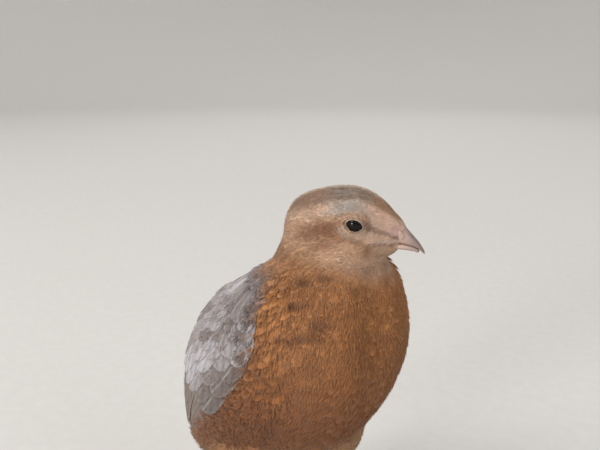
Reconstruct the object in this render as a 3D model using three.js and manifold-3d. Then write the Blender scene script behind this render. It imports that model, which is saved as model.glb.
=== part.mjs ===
// A coturnix quail cock, life size, standing upright and alert with its head turned to its left.
// Units are millimetres. +X is the way the breast faces, +Y is the bird's left side and +Z is up.
// The figure is first drawn with the floor at z = 0 and is then centred over its own box.

import * as THREE from "three";
import { mergeVertices } from "three/addons/utils/BufferGeometryUtils.js";
import Module from "manifold-3d";

const wasm = await Module();
wasm.setup();

// Driving sizes

const GAP = 0.3; // clearance that touching pieces keep
const LEFT = 1;
const RIGHT = -1;

// The spine runs from the tail root to the inside of the head. At each place along it the trunk has
// a half width (side) and a depth from the spine to the back and to the belly.
const TRUNK = {
  tailRoot: { x: -47, z: 41, side: 8, back: 5, belly: 6 },
  rump: { x: -39.5, z: 48, side: 15.5, back: 10, belly: 12.5 },
  loin: { x: -28.7, z: 60, side: 23, back: 17, belly: 22.5 },
  flank: { x: -15.3, z: 76, side: 30.5, back: 23.5, belly: 31.5 },
  chest: { x: -2.7, z: 92, side: 34.5, back: 25.5, belly: 34 },
  breast: { x: 7.5, z: 106, side: 31.5, back: 22.5, belly: 31 },
  shoulder: { x: 12.3, z: 118.5, side: 25.5, back: 17.5, belly: 23 },
  neckBase: { x: 12.8, z: 129, side: 15.5, back: 13.9, belly: 15.2 },
  neck: { x: 13.9, z: 136, side: 10.6, back: 11, belly: 10 },
  nape: { x: 16, z: 140.5, side: 5, back: 5, belly: 5 },
};
const CLEFT = { depth: 2.2, spread: 15, from: 0.42, to: 0.78 }; // groove down the breast

// The head is drawn about the point midway between the eyes, with x forward along the bill.
const HEAD = { x: 20.5, y: 5.2, z: 139, turn: 40 };
const SKULL = {
  occiput: { x: -21.4, top: -3, bottom: -7, side: 2 },
  hindhead: { x: -19.6, top: 3.2, bottom: -10, side: 7 },
  nape: { x: -15.9, top: 6.9, bottom: -14, side: 10 },
  crown: { x: -9.5, top: 9.1, bottom: -15.5, side: 10.9 },
  cheek: { x: -3.5, top: 9.8, bottom: -15.5, side: 10.7 },
  brow: { x: 1.5, top: 9.2, bottom: -14.2, side: 9.6 },
  lore: { x: 5.8, top: 7.3, bottom: -12.8, side: 7.7 },
  forehead: { x: 9.4, top: 4.3, bottom: -11.4, side: 5.7 },
  billBase: { x: 12.0, top: 0.9, bottom: -9.7, side: 4.0 },
  billEdge: { x: 13.6, top: -1.8, bottom: -8.8, side: 2.3 },
};
const SKULL_MID = -4.5; // level of the head's greatest width
const EYE = { x: 0, y: 5.5, z: 0, radius: 3.9, lid: 0.6, half: 2.35, height: 1.8, tilt: -14 };
const EYE_HOLLOW = { depth: 0.9, reach: 5.5 }; // the face dips a little round each eye

const UPPER_BILL = {
  root: { x: 8.4, top: 0.4, bottom: -6.5, side: 3.1 },
  base: { x: 12.0, top: 0.3, bottom: -6.7, side: 3.1 },
  nostril: { x: 14.1, top: -1.6, bottom: -7.0, side: 2.7 },
  arch: { x: 16.2, top: -4.0, bottom: -7.5, side: 2.2 },
  hook: { x: 18.2, top: -6.2, bottom: -8.2, side: 1.4 },
  point: { x: 19.7, top: -8.4, bottom: -9.4, side: 0.6 },
  tip: { x: 20.3, top: -9.6, bottom: -10.1, side: 0.25 },
};
const LOWER_BILL = {
  root: { x: 8.4, top: -6.8, bottom: -9.4, side: 2.9 },
  base: { x: 12.0, top: -6.9, bottom: -9.6, side: 2.8 },
  chin: { x: 14.6, top: -7.3, bottom: -9.7, side: 2.2 },
  blade: { x: 17.1, top: -8.0, bottom: -9.9, side: 1.4 },
  tip: { x: 18.7, top: -9.3, bottom: -10.1, side: 0.5 },
};
const NOSTRIL = { x: 11.4, y: 3.4, z: -3.9, long: 2.7, wide: 1.35, high: 1.6, slit: 0.45 };
const GAPE = { from: 4.2, to: 12.4, z: -6.6, radius: 0.5, depth: 1.4 };

// The wing lies on the trunk: u runs from the wrist to the wing's tip, v from its upper to its lower edge.
const WING = {
  front: 0.69,
  rear: 0.075,
  upper: [44, 31, 26, 22, 21, 24],
  lower: [97, 107, 108, 104, 97, 83],
  thick: 2.0,
};
// Each tier of the folded wing, from the wrist back: how many vanes, where the uppermost and the
// lowest of them start (u) and how far they reach, the strip of the wing they share (v), their half
// width, and how high their roots and tips stand over the wing's own surface.
const WING_TIERS = {
  lesserFront: { count: 4, start: [0.02, 0.03], reach: 0.16, strip: [0.14, 0.84], half: 6.4, rise: [0.1, 1.0] },
  lesserRear: { count: 4, start: [0.11, 0.12], reach: 0.18, strip: [0.1, 0.92], half: 6.9, rise: [0.1, 1.0] },
  median: { count: 5, start: [0.21, 0.21], reach: 0.19, strip: [0.1, 0.93], half: 5.9, rise: [0.1, 1.0] },
  greater: { count: 6, start: [0.31, 0.29], reach: 0.24, strip: [0.1, 0.95], half: 5.0, rise: [0.1, 1.0] },
  secondary: { count: 3, start: [0.43, 0.43], reach: 0.42, strip: [0.42, 0.74], half: 5.0, rise: [0.1, 0.8] },
  primary: { count: 3, start: [0.44, 0.42], reach: 0.54, strip: [0.76, 0.95], half: 4.2, rise: [-0.2, 0.3] },
  tertial: { count: 3, start: [0.4, 0.42], reach: 0.44, strip: [0.08, 0.42], half: 6.2, rise: [0.3, 1.5] },
};
const VANE = { thick: 1.4, tilt: 0.3, camber: 0.35 }; // a vane's lower edge lies over its neighbour
const VANE_ROWS = [0, 0.5, 0.86, 1];

const TAIL = { x: -45.5, z: 42, drop: 47, root: 22, wide: 7.5, thick: 5 };
const TAIL_TIERS = {
  rectrices: { pairs: 5, long: 39, shorten: 1.6, fan: 4.2, step: 0.8, half: 4.7, out: 0, side: 1, thick: 0.85 },
  upperCoverts: { pairs: 3, long: 23, shorten: 2.5, fan: 8, step: 0.7, half: 5.4, out: 1.2, side: 1, thick: 1.3 },
  underCoverts: { pairs: 2, long: 22, shorten: 2.5, fan: 9, step: 0.7, half: 5.6, out: -4.2, side: -1, thick: 1.3 },
};

// The leg's path bends at the hock; the foot is the point over which the toes meet.
const LEG = {
  hip: { x: 0, y: 13, z: 70 },
  knee: { x: -5, y: 17.8, z: 55 },
  calf: { x: -14, y: 19, z: 41 },
  hock: { x: -19.5, y: 18.8, z: 32.5 },
  foot: { x: -10.5, y: 18.5, z: 4.6 },
};
const THIGH_RADIUS = [12.5, 12, 7.5, 3.9];
const SHANK_RADIUS = { hock: 2.9, shaft: 1.75, ankle: 2.2, ball: 2.9 };
const TOES = {
  inner: { turn: -34, long: 14.5, radius: 1.55 },
  middle: { turn: 4, long: 20.5, radius: 1.7 },
  outer: { turn: 40, long: 15.5, radius: 1.5 },
  hind: { turn: 168, long: 7.5, radius: 1.25 },
};
const CLAW = { long: 4.6, radius: 0.85 };

const COLOURS = {
  breast: 0xb9713c,
  back: 0x9b948f,
  face: 0xb08a6c,
  bill: 0x6e6462,
  eye: 0x0d0908,
  shank: 0xb28d72,
  claw: 0x4a3c34,
};

// Solids and meshes

const radians = THREE.MathUtils.degToRad;

function solidOf(geometry) {
  const bare = geometry.clone();
  Object.keys(bare.attributes)
    .filter((key) => key !== "position")
    .forEach((key) => bare.deleteAttribute(key));
  const merged = mergeVertices(bare, 1e-4);
  const triangles = new Uint32Array(merged.index.array);
  const build = () =>
    new wasm.Manifold(
      new wasm.Mesh({
        numProp: 3,
        vertProperties: merged.attributes.position.array,
        triVerts: triangles,
      }),
    );
  const made = build();
  if (made.volume() > 0) return made;
  for (let i = 0; i < triangles.length; i += 3) {
    [triangles[i + 1], triangles[i + 2]] = [triangles[i + 2], triangles[i + 1]];
  }
  return build();
}

// Only the largest closed surface of a solid is kept, so a loose scrap or a sealed hollow is dropped.
function largest(solid) {
  const pieces = solid.decompose();
  return pieces.reduce((best, piece) => (piece.volume() > best.volume() ? piece : best));
}

function joined(solids) {
  return solids.reduce((sum, solid) => sum.add(solid));
}

function meshOf(name, solid, colour, roughness) {
  const { numProp, numVert, vertProperties, triVerts } = largest(solid).getMesh();
  const positions = new Float32Array(numVert * 3);
  for (let i = 0; i < numVert; i += 1) {
    positions.set(vertProperties.subarray(i * numProp, i * numProp + 3), i * 3);
  }
  const geometry = new THREE.BufferGeometry();
  geometry.setAttribute("position", new THREE.BufferAttribute(positions, 3));
  geometry.setIndex(new THREE.BufferAttribute(triVerts, 1));
  const material = new THREE.MeshStandardMaterial({ color: colour, roughness, metalness: 0 });
  const mesh = new THREE.Mesh(geometry, material);
  mesh.name = name;
  return mesh;
}

// A sphere whose every vertex is moved to place(turn, along): turn is an angle round it, along goes 0 to 1.
function moulded(around, rows, place) {
  const ball = new THREE.SphereGeometry(1, around, rows);
  const { position, uv } = ball.attributes;
  for (let i = 0; i < position.count; i += 1) {
    const turn = (uv.getX(i) % 1) * 2 * Math.PI;
    const spot = place(turn, 1 - uv.getY(i));
    position.setXYZ(i, spot.x, spot.y, spot.z);
  }
  return solidOf(ball);
}

// A thin curved plate: place(along, across, face) gives each point, with across from -1 to 1 and face
// 1 on top and -1 below. Both faces are split along the same diagonals, so the plate keeps its thickness.
function plate(rows, columns, place) {
  const wide = columns.length;
  const under = rows.length * wide;
  const spots = [1, -1].flatMap((face) =>
    rows.flatMap((along) => columns.flatMap((across) => place(along, across, face).toArray())),
  );
  const faces = [];
  const wall = (a, b) => faces.push(a, under + a, under + b, a, under + b, b);
  for (let r = 0; r + 1 < rows.length; r += 1) {
    for (let c = 0; c + 1 < wide; c += 1) {
      const [a, b] = [r * wide + c, r * wide + c + 1];
      const [d, e] = [a + wide, b + wide];
      faces.push(a, b, e, a, e, d);
      faces.push(under + a, under + e, under + b, under + a, under + d, under + e);
    }
    wall((r + 1) * wide, r * wide);
    wall((r + 1) * wide - 1, (r + 2) * wide - 1);
  }
  for (let c = 0; c + 1 < wide; c += 1) {
    wall(c, c + 1);
    wall(under - wide + c + 1, under - wide + c);
  }
  const geometry = new THREE.BufferGeometry();
  geometry.setAttribute("position", new THREE.Float32BufferAttribute(spots, 3));
  geometry.setIndex(faces);
  return solidOf(geometry);
}

// A vane's half width from its root to its blunt tip, as a share of its widest.
function vaneOutline(along) {
  return Math.sqrt(Math.max(0.04, 1 - ((along - 0.45) / 0.56) ** 4));
}

// Smooth sizes between named places: returns a function of t from 0 to 1.
function smoothSizes(places, keys) {
  const curves = keys.map(
    (key) => new THREE.SplineCurve(places.map((p, i) => new THREE.Vector2(i, p[key]))),
  );
  return (t) => Object.fromEntries(keys.map((key, k) => [key, curves[k].getPoint(t).y]));
}

// 0 at both ends of a loft and 1 between them, so that the end rows close to a point.
function closing(along) {
  return along < 1e-6 || along > 1 - 1e-6 ? 0 : 1;
}

// Trunk and neck

const trunkPlaces = Object.values(TRUNK);
const trunkSizes = smoothSizes(trunkPlaces, ["side", "back", "belly"]);
const spine = new THREE.CatmullRomCurve3(
  trunkPlaces.map((p) => new THREE.Vector3(p.x, 0, p.z)),
  false,
  "catmullrom",
  0.5,
);

function cleftDepth(t, turn) {
  const fade = Math.sin(Math.PI * THREE.MathUtils.clamp((t - CLEFT.from) / (CLEFT.to - CLEFT.from), 0, 1));
  const off = THREE.MathUtils.radToDeg(Math.PI - turn);
  return CLEFT.depth * fade * Math.exp(-((off / CLEFT.spread) ** 2));
}

// turn is 0 along the back, a quarter turn on the left side and a half turn along the belly.
function trunkPoint(t, turn, out = 0, close = 1) {
  const size = trunkSizes(t);
  const heading = spine.getTangent(t);
  const toBack = new THREE.Vector3(-heading.z, 0, heading.x);
  const lift = Math.cos(turn);
  const depth = (lift > 0 ? size.back : size.belly - cleftDepth(t, turn)) + out;
  return spine
    .getPoint(t)
    .addScaledVector(toBack, close * depth * lift)
    .add(new THREE.Vector3(0, close * (size.side + out) * Math.sin(turn), 0));
}

function trunk(out = 0) {
  return moulded(30, 23, (turn, along) => trunkPoint(along, turn, out, closing(along)));
}

// Head

function headFrame(geometry) {
  geometry.rotateZ(radians(HEAD.turn));
  return geometry.translate(HEAD.x, HEAD.y, HEAD.z);
}

function inHead(solid) {
  return solid.rotate([0, 0, HEAD.turn]).translate([HEAD.x, HEAD.y, HEAD.z]);
}

// A loft along x through places that give a top, a bottom and a half width; mid is the widest level.
function facing(places, around, rows, midOf, out = 0, dent = () => 0) {
  const list = Object.values(places);
  const sizes = smoothSizes(list, ["x", "top", "bottom", "side"]);
  return moulded(around, rows, (turn, along) => {
    const size = sizes(along);
    const close = closing(along);
    const mid = midOf(size);
    const lift = Math.cos(turn);
    const height = (lift > 0 ? size.top - mid : mid - size.bottom) + out;
    const z = mid + close * height * lift;
    const side = size.side + out - dent(size.x, z);
    return new THREE.Vector3(size.x, close * side * Math.sin(turn), z);
  });
}

function eyeDent(x, z) {
  const away = Math.hypot(x - EYE.x, z - EYE.z) / EYE_HOLLOW.reach;
  return EYE_HOLLOW.depth * Math.exp(-(away ** 4));
}

function ball(radius, x, y, z, stretch = [1, 1, 1], detail = 16) {
  const geometry = new THREE.SphereGeometry(radius, detail, detail / 2);
  geometry.scale(...stretch);
  return solidOf(geometry.translate(x, y, z));
}

// The slit between the lids is a leaf-shaped hole that tilts down towards the bill.
function lidHole(side) {
  const hole = new THREE.CylinderGeometry(1, 1, 8, 14);
  hole.scale(EYE.half, 1, EYE.height);
  hole.rotateY(radians(-EYE.tilt));
  return solidOf(hole.translate(EYE.x, side * (EYE.y + 5), EYE.z));
}

function billMid(size) {
  return size.bottom + 0.25 * (size.top - size.bottom);
}

function upperBill(out = 0) {
  const [x, y, z] = [NOSTRIL.x, NOSTRIL.y, NOSTRIL.z];
  const stretch = [NOSTRIL.long + out, NOSTRIL.wide + out, NOSTRIL.high + out];
  return joined([
    facing(UPPER_BILL, 14, 12, billMid, out),
    ball(1, x, y, z, stretch, 10),
    ball(1, x, -y, z, stretch, 10),
  ]);
}

function nostrilSlit(side) {
  const slit = new THREE.SphereGeometry(1, 8, 6);
  slit.scale(NOSTRIL.long * 0.45, 1.2, NOSTRIL.slit);
  slit.rotateY(radians(24));
  return solidOf(slit.translate(NOSTRIL.x + 0.9, side * (NOSTRIL.y + 1.1), NOSTRIL.z - 0.9));
}

function lowerBill(out = 0) {
  return facing(LOWER_BILL, 10, 9, (size) => size.top - 0.3 * (size.top - size.bottom), out);
}

// The line of the mouth runs back from the bill's corner along each side of the face.
function gapeLine() {
  const line = new THREE.CylinderGeometry(GAPE.radius, GAPE.radius, 24, 6);
  const middle = (GAPE.from + GAPE.to) / 2;
  const sheet = new THREE.BoxGeometry(GAPE.to - GAPE.from, 24, GAPE.radius);
  line.translate(GAPE.from, 0, GAPE.z);
  sheet.translate(middle, 0, GAPE.z);
  const core = facing(SKULL, 16, 12, () => SKULL_MID, -GAPE.depth);
  return joined([solidOf(line), solidOf(sheet)]).subtract(core);
}

function headWhole() {
  const skull = facing(SKULL, 26, 18, () => SKULL_MID, 0, eyeDent);
  const lids = [LEFT, RIGHT].map((s) => ball(EYE.radius + GAP + EYE.lid, EYE.x, s * EYE.y, EYE.z));
  const sockets = [LEFT, RIGHT].map((s) => ball(EYE.radius + GAP, EYE.x, s * EYE.y, EYE.z));
  const holes = [LEFT, RIGHT].map(lidHole);
  const cuts = joined([...sockets, ...holes, upperBill(GAP), lowerBill(GAP), gapeLine()]);
  return inHead(joined([skull, ...lids])).subtract(inHead(cuts));
}

// Wings

const wingUpper = new THREE.SplineCurve(WING.upper.map((a, i) => new THREE.Vector2(i, a)));
const wingLower = new THREE.SplineCurve(WING.lower.map((a, i) => new THREE.Vector2(i, a)));

function wingPoint(side, u, v, out) {
  const t = THREE.MathUtils.lerp(WING.front, WING.rear, u);
  const turn = THREE.MathUtils.lerp(wingUpper.getPoint(u).y, wingLower.getPoint(u).y, v);
  return trunkPoint(t, side * radians(turn), out);
}

// The wing's body is a plate that swells from nothing at its rim and sinks into the trunk below.
function wingBody(side, around = 20, rows = 8) {
  return moulded(around, rows, (turn, along) => {
    const polar = along * Math.PI;
    const disc = Math.min(1, Math.sin(polar) * 1.02);
    const u = 0.5 - 0.5 * disc * Math.cos(turn);
    const v = 0.5 - 0.5 * disc * Math.sin(turn);
    const rim = Math.sqrt(Math.max(0, 1 - disc ** 6));
    const out = along < 0.5 ? -3 : WING.thick * rim;
    return wingPoint(side, u, v, out);
  });
}

function wingVane(side, tier, share) {
  const start = THREE.MathUtils.lerp(tier.start[0], tier.start[1], share);
  const strip = THREE.MathUtils.lerp(tier.strip[0], tier.strip[1], share);
  return plate(VANE_ROWS, [-1, 0, 1], (along, across, face) => {
    const u = Math.min(1, start + tier.reach * along);
    const t = THREE.MathUtils.lerp(WING.front, WING.rear, u);
    const size = trunkSizes(t);
    const girth = (size.side * 2 + size.back + size.belly) / 4;
    const middle = THREE.MathUtils.lerp(wingUpper.getPoint(u).y, wingLower.getPoint(u).y, strip);
    const turn = radians(middle) + (across * tier.half * vaneOutline(along)) / girth;
    const rise = THREE.MathUtils.lerp(tier.rise[0], tier.rise[1], along);
    const lie = VANE.tilt * across - VANE.camber * across ** 2;
    const skin = face > 0 ? 0 : -VANE.thick;
    return trunkPoint(t, side * turn, WING.thick + rise + lie + skin);
  });
}

function wing(side) {
  const vanes = Object.values(WING_TIERS).flatMap((tier) =>
    Array.from({ length: tier.count }, (_, i) => wingVane(side, tier, (i + 0.5) / tier.count)),
  );
  return joined([wingBody(side), ...vanes]).subtract(trunk(GAP)).subtract(thighShape(side, GAP));
}

// Tail

function tailFrame(geometry) {
  geometry.rotateY(radians(-TAIL.drop));
  return geometry.translate(TAIL.x, 0, TAIL.z);
}

function tailPoint(x, y, z) {
  return new THREE.Vector3(x, y, z)
    .applyAxisAngle(new THREE.Vector3(0, 1, 0), radians(-TAIL.drop))
    .add(new THREE.Vector3(TAIL.x, 0, TAIL.z));
}

// Tail vane number i of a tier, counted out from the middle on the given side.
function tailVane(tier, side, i) {
  const turn = radians(tier.fan * (i + 0.5)) * side;
  const long = tier.long - tier.shorten * i;
  const level = tier.out - tier.side * tier.step * (i + (side > 0 ? 0 : 0.5));
  return plate(VANE_ROWS, [-1, 0, 1], (along, across, face) => {
    const back = 4 - long * along;
    const wide = across * tier.half * vaneOutline(along);
    const x = back * Math.cos(turn) - wide * Math.sin(turn) * -1;
    const y = -back * Math.sin(turn) + wide * Math.cos(turn);
    const lie = -tier.side * 0.2 * across ** 2 + (face > 0 ? 0 : -tier.thick);
    return tailPoint(x, y, level + lie);
  });
}

// The stump that carries the tail's feathers is a flattened ball sunk in the rump.
function tailFan() {
  const stump = new THREE.SphereGeometry(1, 16, 8);
  stump.scale(TAIL.root / 2, TAIL.wide, TAIL.thick / 2);
  const root = solidOf(tailFrame(stump.translate(-TAIL.root / 2 + 6, 0, -2)));
  const vanes = Object.values(TAIL_TIERS).flatMap((tier) =>
    [LEFT, RIGHT].flatMap((side) => Array.from({ length: tier.pairs }, (_, i) => tailVane(tier, side, i))),
  );
  return joined([root, ...vanes]);
}

// Legs

function bentLathe(profile, path, around, flatten = 1) {
  const lathe = new THREE.LatheGeometry(profile.map(([r, s]) => new THREE.Vector2(r, s)), around);
  const { position } = lathe.attributes;
  const side = new THREE.Vector3();
  for (let i = 0; i < position.count; i += 1) {
    const s = THREE.MathUtils.clamp(position.getY(i), 0, 1);
    const heading = path.getTangent(s);
    side.set(0, 1, 0).cross(heading).normalize();
    const cross = heading.clone().cross(side);
    const spot = path
      .getPoint(s)
      .addScaledVector(side, position.getX(i) * flatten)
      .addScaledVector(cross, position.getZ(i));
    position.setXYZ(i, spot.x, spot.y, spot.z);
  }
  return solidOf(lathe);
}

function legPoint(place, side) {
  return new THREE.Vector3(place.x, side * place.y, place.z);
}

function thighShape(side, out = 0) {
  const path = new THREE.CatmullRomCurve3([LEG.hip, LEG.knee, LEG.calf, LEG.hock].map((p) => legPoint(p, side)));
  const radius = new THREE.SplineCurve(THIGH_RADIUS.map((r, i) => new THREE.Vector2(i, r)));
  const rows = 8;
  const profile = Array.from({ length: rows + 1 }, (_, i) => [radius.getPoint(i / rows).y + out, i / rows]);
  return bentLathe([[0, 0], ...profile, [0, 1]], path, 16);
}

function thigh(side) {
  return thighShape(side).subtract(trunk(GAP)).subtract(shank(side, GAP));
}

function shankPath(side) {
  return new THREE.LineCurve3(legPoint(LEG.hock, side), legPoint(LEG.foot, side));
}

// The hock is rounded, the shaft slim and the ball over the toes a little wider.
function shank(side, out = 0) {
  const { hock, shaft, ankle, ball: knuckle } = SHANK_RADIUS;
  const profile = [
    [hock * 0.85, 0],
    [hock, 0.07],
    [hock * 0.8, 0.17],
    [shaft, 0.3],
    [shaft, 0.6],
    [ankle * 0.92, 0.82],
    [ankle, 0.93],
    [knuckle * 0.7, 1],
  ].map(([r, s]) => [r + out, s]);
  const path = shankPath(side);
  const foot = legPoint(LEG.foot, side);
  const rod = bentLathe([[0, 0], ...profile, [0, 1]], path, 10, 1.15);
  const pad = ball(knuckle + out, foot.x, foot.y, foot.z - 1.2, [1, 1, 0.95], 10);
  return joined([rod, pad]);
}

function toePath(side, toe) {
  const heading = radians(-side * toe.turn);
  const foot = legPoint(LEG.foot, side);
  const rise = [2.7, 2.4, 1.25, 0.85];
  return new THREE.CatmullRomCurve3(
    rise.map((z, i) => {
      const reach = (toe.long * i) / (rise.length - 1);
      return new THREE.Vector3(foot.x + reach * Math.cos(heading), foot.y - reach * Math.sin(heading), z);
    }),
  );
}

// A toe swells a little at each joint's pad and ends bluntly where its claw begins.
function toe(side, name, out = 0) {
  const sizes = TOES[name];
  const rows = 6;
  const profile = Array.from({ length: rows + 1 }, (_, i) => {
    const s = i / rows;
    const pads = 0.07 * Math.sin(3 * Math.PI * s);
    return [sizes.radius * (1 - 0.3 * s + pads) + out, s];
  });
  return bentLathe([[0, 0], ...profile, [0, 1]], toePath(side, sizes), 8);
}

// The claw carries the toe's line on, curves down and keeps its point just above the floor.
function claw(side, name) {
  const path = toePath(side, TOES[name]);
  const ahead = path.getTangent(1).setZ(0).normalize();
  const root = path.getPoint(1).addScaledVector(path.getTangent(1), GAP);
  const points = [0, 0.35, 0.7, 1].map((s) => {
    const drop = (root.z - 0.35) * s ** 1.6;
    return root.clone().addScaledVector(ahead, CLAW.long * s).setZ(root.z - drop);
  });
  const taper = [1, 0.8, 0.52, 0.18].map((k, i) => [CLAW.radius * k, i / 3]);
  return bentLathe([[0, 0], ...taper, [0, 1]], new THREE.CatmullRomCurve3(points), 6, 1.2);
}

function overFloor(solid) {
  return solid.trimByPlane([0, 0, 1], 0);
}

// Assembly

// The model is drawn whole and then parted by thin plane cuts. Each plane passes through a point and
// faces up, leaning by so many degrees towards the compass direction turn.
const NECK_CUT = { x: 12, z: 119.5, lean: 11, turn: 0 };
const HEAD_CUT = { x: 12, z: 131.5, lean: 20, turn: 40 };
const TAIL_CUT = { x: -44, z: 44.5, lean: 40, turn: 0 };

// Everything above a cut's plane, moved along its normal by shift.
function above(cut, shift) {
  const size = 400;
  const block = new THREE.BoxGeometry(size, size, size);
  block.translate(0, 0, size / 2 + shift);
  block.rotateY(radians(cut.lean));
  block.rotateZ(radians(cut.turn));
  return solidOf(block.translate(cut.x, 0, cut.z));
}

function bodyParts() {
  const body = trunk();
  const whole = joined([headWhole(), body.subtract(headHollows())]);
  return {
    head: whole.intersect(above(HEAD_CUT, GAP / 2)),
    neck: whole.subtract(above(HEAD_CUT, -GAP / 2)).intersect(above(NECK_CUT, GAP / 2)),
    torso: body.subtract(above(NECK_CUT, -GAP / 2)).intersect(above(TAIL_CUT, GAP / 2)),
    tail: joined([body, tailFan()]).subtract(above(TAIL_CUT, -GAP / 2)),
  };
}

// The hollows of the head that the trunk's own end must not fill again.
function headHollows() {
  const sockets = [LEFT, RIGHT].map((s) => ball(EYE.radius + GAP, EYE.x, s * EYE.y, EYE.z));
  return inHead(joined([...sockets, upperBill(GAP), lowerBill(GAP)]));
}

const figure = new THREE.Group();
const parts = bodyParts();
figure.add(meshOf("head", parts.head, COLOURS.face, 0.9));
figure.add(meshOf("neck", parts.neck, COLOURS.face, 0.9));
figure.add(meshOf("torso", parts.torso, COLOURS.breast, 0.9));
figure.add(meshOf("tail", parts.tail, COLOURS.back, 0.9));

const slits = joined([LEFT, RIGHT].map(nostrilSlit));
figure.add(meshOf("bill_upper", inHead(upperBill().subtract(slits).subtract(lowerBill(GAP))), COLOURS.bill, 0.45));
figure.add(meshOf("bill_lower", inHead(lowerBill()), COLOURS.bill, 0.45));

for (const [word, side] of [["left", LEFT], ["right", RIGHT]]) {
  const eye = inHead(ball(EYE.radius, EYE.x, side * EYE.y, EYE.z));
  figure.add(meshOf(`eye_${word}`, eye, COLOURS.eye, 0.1));
  figure.add(meshOf(`wing_${word}`, wing(side), COLOURS.back, 0.9));
  figure.add(meshOf(`thigh_${word}`, thigh(side), COLOURS.breast, 0.9));
  figure.add(meshOf(`shank_${word}`, overFloor(shank(side)), COLOURS.shank, 0.6));
  for (const name of Object.keys(TOES)) {
    const clear = name === "middle" ? shank(side, GAP) : joined([shank(side, GAP), toe(side, "middle", GAP)]);
    figure.add(meshOf(`toe_${name}_${word}`, overFloor(toe(side, name).subtract(clear)), COLOURS.shank, 0.6));
    figure.add(meshOf(`claw_${name}_${word}`, overFloor(claw(side, name)), COLOURS.claw, 0.4));
  }
}

// The origin is at the middle of the figure's box, on the floor.
const box = new THREE.Box3().setFromObject(figure);
const centre = box.getCenter(new THREE.Vector3());
figure.position.set(-centre.x, -centre.y, -box.min.z);

export default figure;
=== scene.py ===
# %% [markdown]
# # A standing quail, dressed in feathers
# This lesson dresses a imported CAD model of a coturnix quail. The solids give the
# outline and the sizes. Here they get what they lack: one skin without seams, a coat
# of some thousands of small feathers, quilled wings and tail, lids, horn and scales.
# Lengths in the code are in millimetres, because a quail's feather is a few of them
# long, and each mesh is turned into metres when it is made.

# %% Open the frame
import math

import bpy
import numpy as np
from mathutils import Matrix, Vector
from mathutils.bvhtree import BVHTree
from mathutils.kdtree import KDTree


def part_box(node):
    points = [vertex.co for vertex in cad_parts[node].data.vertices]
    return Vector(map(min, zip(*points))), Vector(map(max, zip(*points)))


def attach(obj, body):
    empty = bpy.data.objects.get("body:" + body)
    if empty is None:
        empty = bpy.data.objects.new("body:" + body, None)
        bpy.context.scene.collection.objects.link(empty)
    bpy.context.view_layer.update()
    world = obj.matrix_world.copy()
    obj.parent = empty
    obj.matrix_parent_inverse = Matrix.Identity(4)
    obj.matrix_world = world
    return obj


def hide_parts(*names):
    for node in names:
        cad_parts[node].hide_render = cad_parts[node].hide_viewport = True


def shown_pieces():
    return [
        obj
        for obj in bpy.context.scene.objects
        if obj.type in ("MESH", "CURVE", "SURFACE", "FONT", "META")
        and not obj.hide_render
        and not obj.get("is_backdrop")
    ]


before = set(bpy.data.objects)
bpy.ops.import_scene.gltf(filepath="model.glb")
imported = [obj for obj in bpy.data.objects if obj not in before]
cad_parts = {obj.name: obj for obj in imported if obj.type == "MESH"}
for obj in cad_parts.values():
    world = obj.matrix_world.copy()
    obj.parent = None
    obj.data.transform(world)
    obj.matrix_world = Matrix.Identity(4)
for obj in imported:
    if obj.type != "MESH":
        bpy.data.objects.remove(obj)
bpy.ops.object.select_all(action="DESELECT")
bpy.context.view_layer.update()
MM = 0.001
SIDES = {"left": 1, "right": -1}

# %% [markdown]
# ## The bird's measures
# The coat has to follow the same body as the solids, so the body's stations are
# written down again. Each row of the trunk gives a place on the spine, half the width,
# and the depth to the back and to the belly. A smooth curve runs through the rows.
# The skull has its own rows, measured from a point between the eyes, and is turned
# to the bird's left.

# %% Stations of trunk, skull and wing
TRUNK = np.array([
    # x, z, side, back, belly
    [-47, 41, 8, 5, 6],
    [-39.5, 48, 15.5, 10, 12.5],
    [-28.7, 60, 23, 17, 22.5],
    [-15.3, 76, 30.5, 23.5, 31.5],
    [-2.7, 92, 34.5, 25.5, 34],
    [7.5, 106, 31.5, 22.5, 31],
    [12.3, 118.5, 25.5, 17.5, 23],
    [12.8, 129, 15.5, 13.9, 15.2],
    [13.9, 136, 10.6, 11, 10],
    [16, 140.5, 5, 5, 5],
])
CLEFT = {"depth": 2.2, "spread": 15, "start": 0.42, "end": 0.78}
HEAD = {"place": np.array([20.5, 5.2, 139.0]), "turn": math.radians(40)}
SKULL = np.array([
    # x, top, bottom, side
    [-21.4, -3, -7, 2],
    [-19.6, 3.2, -10, 7],
    [-15.9, 6.9, -14, 10],
    [-9.5, 9.1, -15.5, 10.9],
    [-3.5, 9.8, -15.5, 10.7],
    [1.5, 9.2, -14.2, 9.6],
    [5.8, 7.3, -12.8, 7.7],
    [9.4, 4.3, -11.4, 5.7],
    [12, 0.9, -9.7, 4],
    [13.6, -1.8, -8.8, 2.3],
])
SKULL_MID = -4.5
EYE = {"y": 5.5, "radius": 3.9, "half": 2.35, "height": 1.62, "tilt": math.radians(-14)}
WING = {
    "front": 0.69,
    "rear": 0.075,
    "upper": np.array([44, 31, 26, 22, 21, 24]),
    "lower": np.array([97, 107, 108, 104, 97, 83]),
    "thick": 2.0,
}
TAIL = {"x": -45.5, "z": 42, "drop": math.radians(47)}
LEG = np.array([[0, 13, 70], [-5, 17.8, 55], [-14, 19, 41], [-19.5, 18.8, 32.5], [-10.5, 18.5, 4.6]])
THIGH = [12.5, 12, 7.5, 3.9]


c, s = math.cos(HEAD["turn"]), math.sin(HEAD["turn"])
HEAD_AXES = np.array([[c, s, 0], [-s, c, 0], [0, 0, 1]])


def in_head(spots):
    """Turns places from the head's own measures to the bird's."""
    return spots @ HEAD_AXES + HEAD["place"]


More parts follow.
